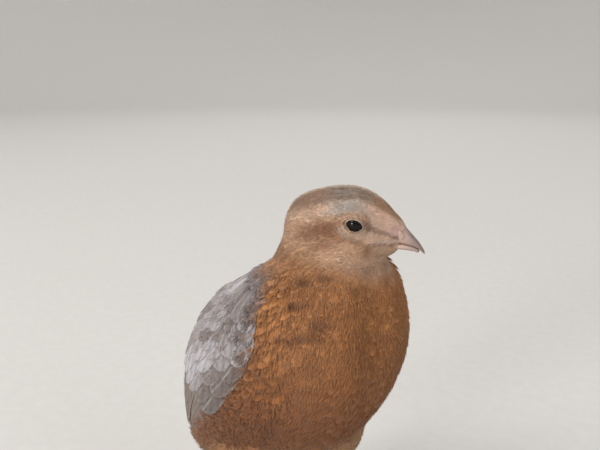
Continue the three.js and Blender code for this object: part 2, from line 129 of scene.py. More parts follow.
eye_low, eye_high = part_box("eye_right")
eye_there = (np.array(eye_low) + np.array(eye_high)) / 2 / MM
SHIFT = eye_there - in_head(np.array([[0, -EYE["y"], 0]]))[0]
print("the packed model is moved from these measures by", SHIFT.round(3), "mm")


# %% Smooth curves through the stations
def through(rows, t, closed_ends=True):
    """Values of a smooth curve through the rows, at shares t of its length."""
    rows = np.asarray(rows, float)
    rows = rows[:, None] if rows.ndim == 1 else rows
    place = np.clip(t, 0, 1) * (len(rows) - 1)
    first = np.minimum(place.astype(int), len(rows) - 2)
    w = (place - first)[:, None]
    before = rows[0] if closed_ends else 2 * rows[0] - rows[1]
    after = rows[-1] if closed_ends else 2 * rows[-1] - rows[-2]
    line = np.vstack([before, rows, after])
    a, b, c, d = (line[first + k] for k in range(4))
    u, v = (c - a) / 2, (d - b) / 2
    return (2 * b - 2 * c + u + v) * w**3 + (-3 * b + 3 * c - 2 * u - v) * w**2 + u * w + b


def step(low, high, value):
    """Rises smoothly from 0 at low to 1 at high."""
    share = np.clip((value - low) / (high - low), 0, 1)
    return share * share * (3 - 2 * share)


def mix(a, b, share):
    """Blends a into b, with one share for each row."""
    share = np.asarray(share)
    share = share[:, None] if max(np.ndim(a), np.ndim(b)) == 2 and share.ndim == 1 else share
    return a + (b - a) * share


def unit(vectors):
    """The same directions, all of length 1."""
    return vectors / np.maximum(np.linalg.norm(vectors, axis=-1, keepdims=True), 1e-9)


def spine_at(t):
    """Place on the spine, heading to the head, and direction to the back."""
    place = through(TRUNK[:, :2], t, False)
    ahead = unit(through(TRUNK[:, :2], t + 2e-4, False) - through(TRUNK[:, :2], t - 2e-4, False))
    zero = np.zeros(len(place))
    spot = np.stack([place[:, 0], zero, place[:, 1]], 1)
    heading = np.stack([ahead[:, 0], zero, ahead[:, 1]], 1)
    to_back = np.stack([-ahead[:, 1], zero, ahead[:, 0]], 1)
    return spot, heading, to_back


def trunk_point(t, turn, out=0.0, close=1.0):
    """A place on the trunk: turn is 0 on the back and half a circle on the belly."""
    t, turn, out, close = np.broadcast_arrays(t, turn, out, close)
    spot, _, to_back = spine_at(t)
    side, back, belly = through(TRUNK[:, 2:], t).T
    groove = np.sin(np.pi * np.clip((t - CLEFT["start"]) / (CLEFT["end"] - CLEFT["start"]), 0, 1))
    off = np.degrees(np.pi - np.abs(turn)) / CLEFT["spread"]
    belly = belly - CLEFT["depth"] * groove * np.exp(-(off**2))
    lift = np.cos(turn)
    depth = np.where(lift > 0, back, belly) + out
    spot = spot + to_back * (close * depth * lift)[:, None]
    spot[:, 1] += close * (side + out) * np.sin(turn)
    return spot


SPINE_SHARES = np.linspace(0, 1, 161)
SPINE_SPOTS = spine_at(SPINE_SHARES)[0]


def trunk_place(spots):
    """The share t, the signed turn in degrees and the height above the trunk of places near it."""
    t = np.empty(len(spots))
    for start in range(0, len(spots), 20000):
        part = spots[start : start + 20000]
        away = (part[:, None, 0] - SPINE_SPOTS[None, :, 0]) ** 2
        away += (part[:, None, 2] - SPINE_SPOTS[None, :, 2]) ** 2
        t[start : start + 20000] = SPINE_SHARES[away.argmin(1)]
    base, _, to_back = spine_at(t)
    side, back, belly = through(TRUNK[:, 2:], t).T
    lift = ((spots - base) * to_back).sum(1)
    depth = np.where(lift > 0, back, belly)
    turn = np.degrees(np.arctan2(spots[:, 1] / side, lift / depth))
    height = (np.hypot(spots[:, 1] / side, lift / depth) - 1) * (side + depth) / 2
    return t, turn, height


def head_place(spots):
    """Places in the head's own measures."""
    return (spots - HEAD["place"]) @ HEAD_AXES.T


def thigh_share(spots, height):
    """1 on the thighs, which stand off the trunk by this height, and 0 elsewhere."""
    return step(1.0, 3.0, height) * step(64, 54, spots[:, 2])


def head_share(spots):
    """1 on the head, falling to 0 on the neck."""
    q = head_place(spots)
    away = np.sqrt(((q[:, 0] + 3.5) / 19) ** 2 + (q[:, 1] / 13) ** 2 + ((q[:, 2] + 2.5) / 13.5) ** 2)
    return 1 - step(0.98, 1.45, away)


def wing_place(t, turn):
    """Shares along and down the wing for a place on the trunk's side."""
    u = (WING["front"] - t) / (WING["front"] - WING["rear"])
    inside = np.clip(u, 0, 1)
    upper = through(WING["upper"], inside)[:, 0]
    lower = through(WING["lower"], inside)[:, 0]
    return u, (np.abs(turn) - upper) / (lower - upper)


print("the trunk is", round(float(np.ptp(trunk_point(SPINE_SHARES, np.pi / 2)[:, 2])), 1), "mm high")

# %% [markdown]
# ## Camera
# The camera stands in front of the bird's right side, a little above it, and looks
# down by 14 degrees. The lens keeps the framing of the picture: the feet fall below it.

# %% Place the camera
CAMERA = {"place": (0.181843, -0.138514, 0.187662), "down": 14, "turn": 50, "sensor": 36, "lens": 42}
turned = (math.radians(90 - CAMERA["down"]), 0, math.radians(CAMERA["turn"]))
bpy.ops.object.camera_add(location=CAMERA["place"], rotation=turned)
camera = bpy.context.object
camera.name = "camera"
camera.data.sensor_width = CAMERA["sensor"]
camera.data.lens = CAMERA["lens"]
camera.data.clip_start = 0.005
camera.data.clip_end = 20
bpy.context.scene.camera = camera
print("camera", [round(c, 3) for c in camera.location], "lens", camera.data.lens)

# %% [markdown]
# ## Floor and light
# A plain pale floor and soft light show plumage best. A real studio uses a large
# soft box above and beside the camera, a weaker one on the other side, and pale
# walls, which the world's even colour stands for. Feathers show their edges when
# the main light grazes them, so it comes from high on the left. A small box low on
# that side is there for the eye: its reflection is the glint on the cornea.


# %% Lay the floor
def node(tree, kind, place=(0, 0), **settings):
    """Adds a node and sets its properties, or its sockets by their names."""
    made = tree.nodes.new(kind)
    made.location = place
    for key, value in settings.items():
        if hasattr(made, key):
            setattr(made, key, value)
        else:
            made.inputs[key.replace("_", " ")].default_value = value
    return made


def finish_named(name):
    """A new material with its tree and its shader."""
    material = bpy.data.materials.new(name)
    material.use_nodes = True
    tree = material.node_tree
    shader = tree.nodes["Principled BSDF"]
    return material, tree, shader


# in metres: radius of the flat part and of the bend, length and number of its steps, height of the wall
FLOOR = {"radius": 2.2, "bend": 0.8, "step": 0.14, "steps": 9, "wall": 0.5}
bpy.ops.mesh.primitive_circle_add(vertices=96, radius=FLOOR["radius"], fill_type="NGON", location=(0, 0, 0))
floor = bpy.context.object
bpy.ops.object.mode_set(mode="EDIT")
bpy.ops.mesh.select_mode(type="EDGE")
bpy.ops.mesh.select_all(action="DESELECT")
bpy.ops.mesh.select_non_manifold()
for bend in range(1, FLOOR["steps"] + 1):
    angle = math.radians(10 * bend - 5)
    up = FLOOR["step"] * math.sin(angle)
    bpy.ops.mesh.extrude_edges_move(TRANSFORM_OT_translate={"value": (0, 0, up)})
    rim = FLOOR["radius"] + FLOOR["bend"] * math.sin(math.radians(10 * (bend - 1)))
    grow = 1 + FLOOR["step"] * math.cos(angle) / rim
    bpy.ops.transform.resize(value=(grow, grow, 1), center_override=(0, 0, 0))
bpy.ops.mesh.extrude_edges_move(TRANSFORM_OT_translate={"value": (0, 0, FLOOR["wall"])})
bpy.ops.object.mode_set(mode="OBJECT")
bpy.ops.object.shade_smooth()
floor.name = "floor"
paper, tree, shader = finish_named("paper_floor")
grain = node(tree, "ShaderNodeTexNoise", (-600, 0), Scale=900.0, Detail=3.0)
spread = node(tree, "ShaderNodeValToRGB", (-400, 0))
spread.color_ramp.elements[0].color = (0.60, 0.585, 0.56, 1)
spread.color_ramp.elements[1].color = (0.66, 0.645, 0.62, 1)
tree.links.new(grain.outputs["Fac"], spread.inputs["Fac"])
tree.links.new(spread.outputs["Color"], shader.inputs["Base Color"])
shader.inputs["Roughness"].default_value = 0.85
floor.data.materials.append(paper)
floor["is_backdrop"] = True
print("floor of", len(floor.data.vertices), "corners")

# %% [markdown]
# A soft box is a lamp behind cloth. An area light with the shape of a disc does the
# same here. Each is aimed at the middle of the bird, and its size sets how soft the
# shadows' edges are.

# %% Set the soft boxes
SOFT_BOXES = {
    # name: place, size in metres, power in watts, colour
    "key_box": ((-0.1, -1.7, 1.9), 1.3, 37.0, (1.0, 0.965, 0.91)),
    "fill_box": ((1.9, 0.3, 1.2), 1.3, 8.0, (0.95, 0.97, 1.0)),
    "eye_box": ((0.31, -1.35, 0.38), 0.3, 8.0, (1.0, 0.99, 0.97)),
    "rim_box": ((-1.3, 1.5, 1.6), 1.2, 11.0, (1.0, 0.97, 0.93)),
}
BIRD_MIDDLE = Vector((0.02, 0, 0.09))


def soft_box(name, place, size, power, colour):
    """A round area light that is aimed at the bird."""
    bpy.ops.object.light_add(type="AREA", location=place)
    lamp = bpy.context.object
    lamp.name = name
    lamp.data.shape = "DISK"
    lamp.data.size = size
    lamp.data.energy = power
    lamp.data.color = colour
    aim = BIRD_MIDDLE - lamp.location
    lamp.rotation_euler = aim.to_track_quat("-Z", "Y").to_euler()


for name, values in SOFT_BOXES.items():
    soft_box(name, *values)
world = bpy.data.worlds.new("pale_room")
bpy.context.scene.world = world
world.use_nodes = True
world.node_tree.nodes["Background"].inputs["Color"].default_value = (0.93, 0.94, 0.96, 1)
world.node_tree.nodes["Background"].inputs["Strength"].default_value = 0.55
bpy.context.scene.view_settings.view_transform = "Standard"
print(len(SOFT_BOXES), "soft boxes and a pale room")

# %% [markdown]
# ## The markings
# Skin and feathers must carry the same colours, or the skin would glare through
# where feathers part. So the pattern is a function of place: it gets places on the
# bird and gives back colours. On the head it works in the head's own measures, and on
# the body with the share along the spine and the turn around it. The cock of this
# breed has an orange-brown breast, a silvery grey mantle and wings, a pale brow and a
# streaked brown cap.


# %% Colours of the plumage
def tint(red, green, blue):
    """A colour picked on a screen, as the light that the renderer works with."""
    c = np.array([red, green, blue]) / 255
    return np.where(c < 0.04045, c / 12.92, ((c + 0.055) / 1.055) ** 2.4)


PALE_BUFF = tint(204, 182, 164)
CREAM = tint(196, 186, 178)
TAN = tint(184, 152, 128)
FACE = tint(210, 178, 158)
CAP = tint(158, 138, 124)
CAP_DARK = tint(98, 78, 66)
HIND_CAP = tint(156, 124, 102)
FOREHEAD = tint(168, 130, 100)
BARE = tint(206, 168, 160)
RUST = tint(138, 92, 62)
CHEEK = tint(204, 166, 136)
THROAT = tint(202, 168, 142)
NECK = tint(158, 117, 83)
HIND_NECK = tint(164, 132, 110)
BREAST = tint(178, 120, 70)
# the lower breast's deeper orange-brown, darkened further by painted shade
BREAST_LOW_AND_SHADE = tint(134, 79, 40)
BREAST_DEEP = tint(112, 64, 32)
BELLY = tint(196, 160, 122)
THIGH_BUFF = tint(192, 152, 114)
SILVER = tint(130, 120, 118)
# pale silver: the plumage's whitish spots, and on the wing painted highlights too
SILVER_PALE_AND_HIGHLIGHT = tint(184, 181, 188)
SLATE = tint(92, 80, 76)
RUMP = tint(128, 108, 92)
LORE = tint(138, 106, 88)


# darker creases and spots on the breast, the creases as painted shade: x, y, z, reach along and up, strength
CREASE_SHADE_AND_SPOTS = np.array([
    [22.6, -21.9, 118.0, 1.3, 1.0, 1.0],
    [19.4, -27.1, 109.4, 3.4, 1.0, 0.5],
    [24.6, -23.7, 109.0, 4.2, 1.1, 0.75],
    [29.2, -19.2, 109.6, 3.6, 1.3, 0.7],
    [29.6, -17.5, 112.2, 3.0, 2.0, 0.6],
    [22.6, -17.7, 124.2, 3.0, 0.9, 0.8],
    [26.5, -13.4, 125.3, 2.6, 0.9, 0.7],
    [29.7, 2.0, 125.5, 3.4, 1.6, 0.3],
    [31.6, 7.2, 121.8, 2.8, 1.8, 0.3],
    [31.0, -6.0, 121.0, 2.2, 1.4, 0.3],
    [21.0, 24.0, 112.0, 3.2, 0.8, 0.5],
])


def breast_crease_shade_and_spots(spots):
    """How dark each place is made by the breast's darker spots and by the painted shade in its creases."""
    dark = np.zeros(len(spots))
    for x, y, z, along, high, strength in CREASE_SHADE_AND_SPOTS:
        away = np.hypot(np.hypot(spots[:, 0] - x, spots[:, 1] - y) / along, (spots[:, 2] - z) / high)
        dark = np.maximum(dark, strength * (1 - step(0.5, 1.5, away)))
    return dark


def mottle(spots, size, seed):
    """Soft patches about one size across, from -1 to 1."""
    dice = np.random.default_rng(seed)
    total = np.zeros(len(spots))
    for _ in range(7):
        way = unit(dice.normal(size=3)) * dice.uniform(0.7, 1.5) * 2 * np.pi / (size * 2)
        total += np.sin(spots @ way + dice.uniform(0, 2 * np.pi))
    return np.clip(total / 3.2, -1, 1)


def band(value, middle, half, soft=0.5):
    """1 within half of the middle, fading over soft."""
    return 1 - step(half, half + soft, np.abs(value - middle))


# the middle of the pale brow: x and z on the head
BROW = np.array([
    [-20, 0.5], [-11, 3.2], [-4, 4.8], [0, 5.0], [3.2, 4.1], [6, 2.7], [8.1, 1.4], [10.1, 0.1], [13, -2],
])


def head_colours(q):
    """Colours of places in the head's own measures."""
    x, y, z = q[:, 0], np.abs(q[:, 1]), q[:, 2]
    streaks = mottle(q * [0.35, 1.6, 1.6], 1.45, 3)
    fine = mottle(q * [0.6, 1, 1], 0.8, 4)
    colour = np.tile(THROAT, (len(q), 1))
    colour = mix(colour, CHEEK, step(-12, -8.5, z) * step(6, 3, x))
    # the hind cheek and the side of the neck turn warmer
    colour = mix(colour, NECK, step(-6, -14, x) * step(-4, -9, z) * 0.8)
    # ear coverts behind and below the eye
    ear = 1 - step(0.45, 1.25, np.hypot((x + 8.8) / 6.2, (z + 3.0) / 4.8))
    colour = mix(colour, RUST, ear * (0.70 + 0.30 * streaks))
    # a brown stripe behind the eye, and the tan ground above it
    colour = mix(colour, TAN, step(1.0, 2.2, z) * step(-8, -4, x))
    rear_line = band(z, 0.1 + 0.26 * (x + 3), 1.0, 1.2) * step(-2.2, -4.5, x) * step(-20, -13, x)
    colour = mix(colour, RUST, rear_line * 0.6)
    # the pale face between eye and bill
    mouth = -5.7 - 0.08 * (x - 4.3)
    pale_face = step(1.5, 5.0, x) * step(-0.2, 0.8, z - mouth)
    colour = mix(colour, FACE, pale_face * 0.9)
    # a pale crescent under the eye, and the brown fold below it that ends at the jaw
    crescent = band(np.hypot(x / 1.1, z), 3.5, 0.5, 0.7) * step(0.5, -1.0, z)
    colour = mix(colour, PALE_BUFF, crescent * 0.7)
    fold = -4.75 - 0.33 * (x - 0.6) - 0.05 * (x - 0.6) ** 2
    fold = band(z, fold, 0.35, 0.9) * step(-6.5, -3.0, x) * step(5.4, 4.0, x)
    colour = mix(colour, RUST, fold * 0.5)
    jaw = 1 - step(0.4, 1.4, np.hypot((x - 4.0 - 0.25 * (z + 7.9)) / 1.2, (z + 7.9) / 1.9))
    colour = mix(colour, RUST, jaw * 0.6)
    # the line of the mouth, with a pale edge over it, and a painted shade line under the chin
    colour = mix(colour, PALE_BUFF, band(z, mouth + 0.8, 0.2, 0.5) * step(4.5, 7, x) * 0.7)
    colour = mix(colour, LORE, band(z, mouth, 0.12, 0.4) * step(3.6, 5.2, x) * 0.8)
    colour = mix(colour, LORE, band(z, -9.3, 0.2, 0.6) * step(4, 6, x) * step(11, 9, x) * 0.35)
    # brow, from the bill over the eye to the nape
    brow_height = np.interp(x, BROW[:, 0], BROW[:, 1])
    brow = band(z, brow_height, 1.0, 1.1) * mix(0.25, 1.0, step(-10, -4, x))
    # the cap above it
    cap = step(0.3, 1.7, z - brow_height - 0.7)
    cap_colour = mix(CAP[None], CAP_DARK[None], np.clip(0.15 + 0.7 * streaks, 0, 1))
    cap_colour = mix(cap_colour, CREAM[None], np.clip(-0.8 * streaks, 0, 1) * 0.5)
    cap_colour = mix(cap_colour, HIND_CAP[None] * (1 + 0.12 * streaks)[:, None], step(-4, -11, x) * 0.85)
    cap_colour = mix(cap_colour, FOREHEAD[None], step(2.5, 7.5, x) * 0.85)
    middle = band(y, 0, 0.55, 0.5) * step(10, 6, x)
    cap_colour = mix(cap_colour, PALE_BUFF[None], middle * 0.75)
    colour = mix(colour, cap_colour, cap)
    brow_colour = mix(CREAM[None], FACE[None], step(0.5, 6, x))
    colour = mix(colour, brow_colour, brow * (0.80 + 0.20 * fine))
    # the lore, from the eye's corner down to the nostril
    lore = -0.5 - 0.27 * (x - 2.6) - 0.016 * (x - 2.6) * np.abs(x - 2.6)
    lore = band(z, lore + 0.5 * step(7, 3, x), 0.3 + 0.5 * step(7, 3, x), 0.6) * step(2.2, 3.2, x)
    colour = mix(colour, LORE, lore * 0.75)
    bare = 1 - step(0.6, 1.4, np.hypot((x - 11.8) / 2.4, (z + 2.2) / 1.5))
    colour = mix(colour, BARE, bare * 0.7)
    return colour * (1 + mix(0.09, 0.14, cap) * streaks + 0.06 * fine)[:, None]


def body_colours(spots, t, turn):
    """Colours of places on trunk, neck and thighs."""
    around = np.abs(turn)
    large = mottle(spots, 11, 5)
    small = mottle(spots * [1.3, 1.3, 0.7], 3.2, 6)
    u, v = wing_place(t, turn)
    colour = np.tile(BREAST, (len(spots), 1))
    # the lower breast is darker: a deeper orange-brown, with painted shade on it
    colour = mix(colour, BREAST_LOW_AND_SHADE, step(0.66, 0.42, t) * 0.9)
    colour = mix(colour, BREAST_DEEP, np.clip(0.30 * large + 0.22 * small, 0, 1) * step(0.86, 0.7, t))
    colour = mix(colour, BELLY, step(0.36, 0.16, t) * step(110, 135, around))
    colour = mix(colour, BELLY, step(0.30, 0.14, t) * step(60, 90, around) * 0.5)
    colour = mix(colour, THIGH_BUFF, step(76, 52, spots[:, 2]) * step(-16, -4, spots[:, 0]) * 0.8)
    # neck: warm buff in front and on the sides, greyer behind
    neck = step(0.66, 0.82, t)
    neck_colour = mix(NECK[None], HIND_NECK[None], step(100, 45, around))
    collar = np.clip(small, 0, 1) * band(t, 0.78, 0.05, 0.05)
    neck_colour = mix(neck_colour, RUST[None], collar * 0.5)
    colour = mix(colour, neck_colour, neck)
    # mantle and the sides of the back
    grey = step(0.84, 0.70, t) * step(4, -10, around - 50 - 48 * step(0.72, 0.60, t) * step(0.0, 0.25, u))
    grey *= mix(1.0, 0.55, step(58, 44, spots[:, 2]) * step(70, 100, around))
    grey = np.maximum(grey, step(-0.12, 0.02, u) * step(-0.1, 0.02, v) * step(1.0, 0.9, v))
    grey = np.maximum(grey, step(0.80, 0.68, t) * step(56, 40, around))
    back = mix(SILVER[None], SLATE[None], np.clip(0.15 + 0.5 * small + 0.2 * large, 0, 1))
    back = mix(back, SILVER_PALE_AND_HIGHLIGHT[None], np.clip(-0.5 * small, 0, 1) * 0.8 * step(0.6, 1.0, grey))
    back = mix(back, RUMP[None], step(0.32, 0.10, t))
    colour = mix(colour, back, grey)
    # the stump of the tail, grey above and buff below
    c, s = math.cos(TAIL["drop"]), math.sin(TAIL["drop"])
    dx, dz = spots[:, 0] - TAIL["x"], spots[:, 2] - TAIL["z"]
    stump = step(5, 0, dx * c + dz * s)
    stump_colour = mix(RUMP[None], (BELLY * 0.8)[None], step(-2.5, -5.5, dz * c - dx * s) * 0.7)
    colour = mix(colour, stump_colour, stump)
    return colour * (1 + 0.05 * large + 0.05 * small)[:, None]


def plumage(spots):
    """Colours of places anywhere on the bird."""
    t, turn, _ = trunk_place(spots)
    share = head_share(spots)
    return mix(body_colours(spots, t, turn), head_colours(head_place(spots)), share)


print("colour on the breast", plumage(trunk_point(np.array([0.6]), np.array([2.6])))[0].round(3))

# %% [markdown]
# ## Finishes
# A feather's sheen comes from thousands of parallel barbs. In the shader they are a
# fine wave that slants away from the shaft, used for bump and for a slight change of
# tone. Every feather carries its colour in an attribute, and a second attribute says
# how strong its pale shaft streak, its pale fringe and its dark bars are. The map
# called Vane runs along and across each feather, so the pattern follows its curve.


# %% Feather, skin, horn, eye and leg finishes
def linked(tree, start, end):
    """Joins an output of one node to an input of another."""
    tree.links.new(start, end)


def maths(tree, operation, first, second=None, clamp=False):
    """A Math node whose inputs are sockets or numbers."""
    made = node(tree, "ShaderNodeMath", operation=operation, use_clamp=clamp)
    for slot, value in enumerate((first, second)):
        if value is None:
            continue
        if isinstance(value, (int, float)):
            made.inputs[slot].default_value = value
        else:
            tree.links.new(value, made.inputs[slot])
    return made.outputs[0]


def rising(tree, value, low, high):
    """A Map Range node that rises smoothly from 0 to 1."""
    made = node(tree, "ShaderNodeMapRange", interpolation_type="SMOOTHSTEP")
    tree.links.new(value, made.inputs["Value"])
    made.inputs["From Min"].default_value = low
    made.inputs["From Max"].default_value = high
    return made.outputs["Result"]


def blended(tree, share, first, second, kind="MIX"):
    """A Mix Color node whose inputs are sockets, numbers or colours."""
    made = node(tree, "ShaderNodeMix", data_type="RGBA", blend_type=kind)
    for slot, value in ((0, share), (6, first), (7, second)):
        if isinstance(value, (int, float)):
            made.inputs[slot].default_value = value
        elif isinstance(value, (tuple, np.ndarray)):
            made.inputs[slot].default_value = (*value[:3], 1)
        else:
            tree.links.new(value, made.inputs[slot])
    return made.outputs[2]


def feather_finish(name, barbs, bump, sheen):
    """Coat finish. barbs is how many barbs lie along a feather."""
    material, tree, shader = finish_named(name)
    colour = node(tree, "ShaderNodeAttribute", (-1400, 300), attribute_name="plumage").outputs["Color"]
    marks = node(tree, "ShaderNodeAttribute", (-1400, 100), attribute_name="marks").outputs["Vector"]
    parts = node(tree, "ShaderNodeSeparateXYZ", (-1200, 100))
    linked(tree, marks, parts.inputs[0])
    vane = node(tree, "ShaderNodeUVMap", (-1400, -200), uv_map="Vane").outputs["UV"]
    run = node(tree, "ShaderNodeSeparateXYZ", (-1200, -200))
    linked(tree, vane, run.inputs[0])
    along, across = run.outputs[0], run.outputs[1]
    off = maths(tree, "ABSOLUTE", maths(tree, "SUBTRACT", across, 0.5))
    off = maths(tree, "MULTIPLY", off, 2.0)
    # the barbs slant towards the tip
    slant = maths(tree, "SUBTRACT", along, maths(tree, "MULTIPLY", off, 0.35))
    grain = node(tree, "ShaderNodeTexNoise", (-1200, -500), Scale=700.0, Detail=3.0, Roughness=0.6)
    wobble = maths(tree, "MULTIPLY", grain.outputs["Fac"], 0.9)
    wave = maths(tree, "SINE", maths(tree, "ADD", maths(tree, "MULTIPLY", slant, barbs), wobble))
    # pale streak on the shaft, widening towards the tip
    width = maths(tree, "ADD", maths(tree, "MULTIPLY", along, 0.06), 0.035)
    shaft = maths(tree, "SUBTRACT", 1.0, rising(tree, maths(tree, "DIVIDE", off, width), 0.7, 1.7))
    shaft = maths(tree, "MULTIPLY", shaft, parts.outputs[0], clamp=True)
    # pale fringe on the edge and tip
    rim = maths(tree, "MAXIMUM", rising(tree, off, 0.72, 0.98), rising(tree, along, 0.88, 1.0))
    rim = maths(tree, "MULTIPLY", rim, parts.outputs[1], clamp=True)
    # dark bars that run across in shallow arcs
    bars = maths(tree, "SINE", maths(tree, "ADD", maths(tree, "MULTIPLY", slant, 24.0), wobble))
    bars = maths(tree, "MULTIPLY", rising(tree, bars, 0.0, 0.7), parts.outputs[2], clamp=True)
    tone = maths(tree, "ADD", maths(tree, "MULTIPLY", wave, 0.045), 1.0)
    speckle = maths(tree, "MULTIPLY", maths(tree, "SUBTRACT", grain.outputs["Fac"], 0.5), 0.28)
    tone = maths(tree, "ADD", tone, speckle)
    coloured = blended(tree, bars, colour, tuple(SLATE * 0.6))
    coloured = blended(tree, rim, coloured, tuple(CREAM))
    coloured = blended(tree, shaft, coloured, tuple(tint(228, 220, 208)))
    scale = node(tree, "ShaderNodeVectorMath", (-300, 100), operation="SCALE")
    linked(tree, coloured, scale.inputs[0])
    linked(tree, tone, scale.inputs["Scale"])
    linked(tree, scale.outputs[0], shader.inputs["Base Color"])
    relief = node(tree, "ShaderNodeBump", (-300, -300), Strength=bump, Distance=0.0002)
    height = maths(tree, "ADD", wave, maths(tree, "MULTIPLY", grain.outputs["Fac"], 1.5))
    linked(tree, height, relief.inputs["Height"])
    linked(tree, relief.outputs[0], shader.inputs["Normal"])
    shader.inputs["Roughness"].default_value = 0.72
    shader.inputs["Specular IOR Level"].default_value = 0.25
    shader.inputs["Sheen Weight"].default_value = sheen
    shader.inputs["Sheen Roughness"].default_value = 0.45
    shader.inputs["Sheen Tint"].default_value = (1.0, 0.93, 0.86, 1)
    return material


def skin_finish(name, size, depth, rough, gloss, low, high):
    """Skin, horn or down: its colour attribute, broken up by two sizes of noise."""
    material, tree, shader = finish_named(name)
    colour = node(tree, "ShaderNodeAttribute", (-900, 300), attribute_name="plumage").outputs["Color"]
    place = node(tree, "ShaderNodeTexCoord", (-1300, 0)).outputs["Object"]
    grain = node(tree, "ShaderNodeTexNoise", (-1100, 0), Scale=1.0 / size, Detail=4.0, Roughness=0.6)
    cells = node(tree, "ShaderNodeTexVoronoi", (-1100, -300), Scale=0.55 / size)
    linked(tree, place, grain.inputs["Vector"])
    linked(tree, place, cells.inputs["Vector"])
    share = node(tree, "ShaderNodeMapRange", (-700, 0))
    linked(tree, grain.outputs["Fac"], share.inputs["Value"])
    share.inputs["From Min"].default_value = 0.3
    share.inputs["From Max"].default_value = 0.7
    share.inputs["To Min"].default_value = low
    share.inputs["To Max"].default_value = high
    scale = node(tree, "ShaderNodeVectorMath", (-300, 100), operation="SCALE")
    linked(tree, colour, scale.inputs[0])
    linked(tree, share.outputs["Result"], scale.inputs["Scale"])
    linked(tree, scale.outputs[0], shader.inputs["Base Color"])
    height = maths(tree, "ADD", grain.outputs["Fac"], maths(tree, "MULTIPLY", cells.outputs["Distance"], 0.8))
    relief = node(tree, "ShaderNodeBump", (-300, -300), Strength=0.5, Distance=depth)
    linked(tree, height, relief.inputs["Height"])
    linked(tree, relief.outputs[0], shader.inputs["Normal"])
    rougher = node(tree, "ShaderNodeMapRange", (-500, -100))
    linked(tree, grain.outputs["Fac"], rougher.inputs["Value"])
    rougher.inputs["To Min"].default_value = rough - 0.1
    rougher.inputs["To Max"].default_value = rough + 0.1
    linked(tree, rougher.outputs["Result"], shader.inputs["Roughness"])
    shader.inputs["Coat Weight"].default_value = gloss
    shader.inputs["Coat Roughness"].default_value = 0.3
    return material


coat_soft = feather_finish("soft_coat", 60.0, 0.25, 0.2)
coat_vane = feather_finish("wing_vanes", 150.0, 0.35, 0.2)
skin_down = skin_finish("downy_skin", 0.0012, 0.0003, 0.8, 0.0, 0.78, 1.0)
lid_skin = skin_finish("lid_skin", 0.0004, 0.0001, 0.6, 0.0, 0.85, 1.1)
horn = skin_finish("bill_horn", 0.0009, 0.00004, 0.42, 0.25, 0.85, 1.12)
scaled = skin_finish("leg_skin", 0.0006, 0.00008, 0.5, 0.15, 0.85, 1.12)
claw_horn = skin_finish("claw_horn", 0.0005, 0.00003, 0.35, 0.3, 0.8, 1.15)
eye_wet, tree, shader = finish_named("wet_eye")
iris_share = node(tree, "ShaderNodeAttribute", (-700, 0), attribute_name="iris").outputs["Fac"]
rings = node(tree, "ShaderNodeValToRGB", (-500, 0))
rings.color_ramp.elements[0].position = 0.42
rings.color_ramp.elements[0].color = (0.004, 0.003, 0.003, 1)
rings.color_ramp.elements[1].position = 0.50
rings.color_ramp.elements[1].color = (0.022, 0.010, 0.006, 1)
fibres = node(tree, "ShaderNodeTexNoise", (-700, -250), Scale=2500.0, Detail=2.0)
linked(tree, iris_share, rings.inputs["Fac"])
iris_colour = blended(tree, 0.3, rings.outputs["Color"], fibres.outputs["Color"], "MULTIPLY")
linked(tree, iris_colour, shader.inputs["Base Color"])
shader.inputs["Roughness"].default_value = 0.06
shader.inputs["Specular IOR Level"].default_value = 0.22
print(len(bpy.data.materials), "finishes")

# %% [markdown]
# ## One skin
# The solids meet in thin gaps at the neck and thighs. A bird has one skin, so it is
# moulded anew: a ball is added for each form and its points are moved onto the
# measures, a little inside the solids, by the depth of the coat. One more ball, the
# frontlet, carries the feathered skin over the bill's root, and two small ones swell
# under the lids. A voxel remesh melts the balls into one closed surface, and smoothing
# takes away the creases.


# %% Mould balls onto the measures
def rows_of(items, name, width, kind=float):
    """One value of all items of a mesh, such as its points, as the rows of an array."""
    values = np.empty(len(items) * width, kind)
    items.foreach_get(name, values)
    return values.reshape(-1, width)


def mesh_points(piece):
    """The piece's points as they are kept, in metres."""
    return rows_of(piece.data.vertices, "co", 3)


def bird_spots(piece):
    """The piece's points in the bird's measures, in millimetres."""
    return mesh_points(piece) / MM - SHIFT


def set_spots(piece, spots):
    """Moves the piece's points to places in the bird's measures."""
    piece.data.vertices.foreach_set("co", ((spots + SHIFT) * MM).ravel())
    piece.data.update()


def only(*pieces):
    """Selects these pieces alone and makes the first one active."""
    bpy.ops.object.select_all(action="DESELECT")
    for piece in pieces:
        piece.select_set(True)
    bpy.context.view_layer.objects.active = pieces[0]


def applied(piece, kind, **settings):
    """Adds a modifier by its kind, sets it and applies it."""
    only(piece)
    bpy.ops.object.modifier_add(type=kind)
    modifier = piece.modifiers[-1]
    for key, value in settings.items():
        setattr(modifier, key, value)
    bpy.ops.object.modifier_apply(modifier=modifier.name)


def moulded(name, around, rows, place):
    """A ball whose points go to place(turn, along), with its poles at the ends."""
    bpy.ops.mesh.primitive_uv_sphere_add(segments=around, ring_count=rows, radius=1)
    piece = bpy.context.object
    piece.name = name
    x, y, z = mesh_points(piece).T
    turn = np.arctan2(y, x)
    along = np.arccos(np.clip(-z, -1, 1)) / np.pi
    set_spots(piece, place(turn, along))
    return piece


def edited(piece, operator, **settings):
    """Runs an edit mode operator on all of a piece."""
    only(piece)
    bpy.ops.object.mode_set(mode="EDIT")
    bpy.ops.mesh.select_all(action="SELECT")
    operator(**settings)
    bpy.ops.object.mode_set(mode="OBJECT")


def smoothed(piece, repeat):
    """Smooths all points of a piece and shades it smooth."""
    edited(piece, bpy.ops.mesh.vertices_smooth, factor=0.5, repeat=repeat)
    bpy.ops.object.shade_smooth()


def faced_outwards(piece):
    """Turns all faces of a closed piece outwards, and shades it smooth."""
    edited(piece, bpy.ops.mesh.normals_make_consistent, inside=False)
    bpy.ops.object.shade_smooth()


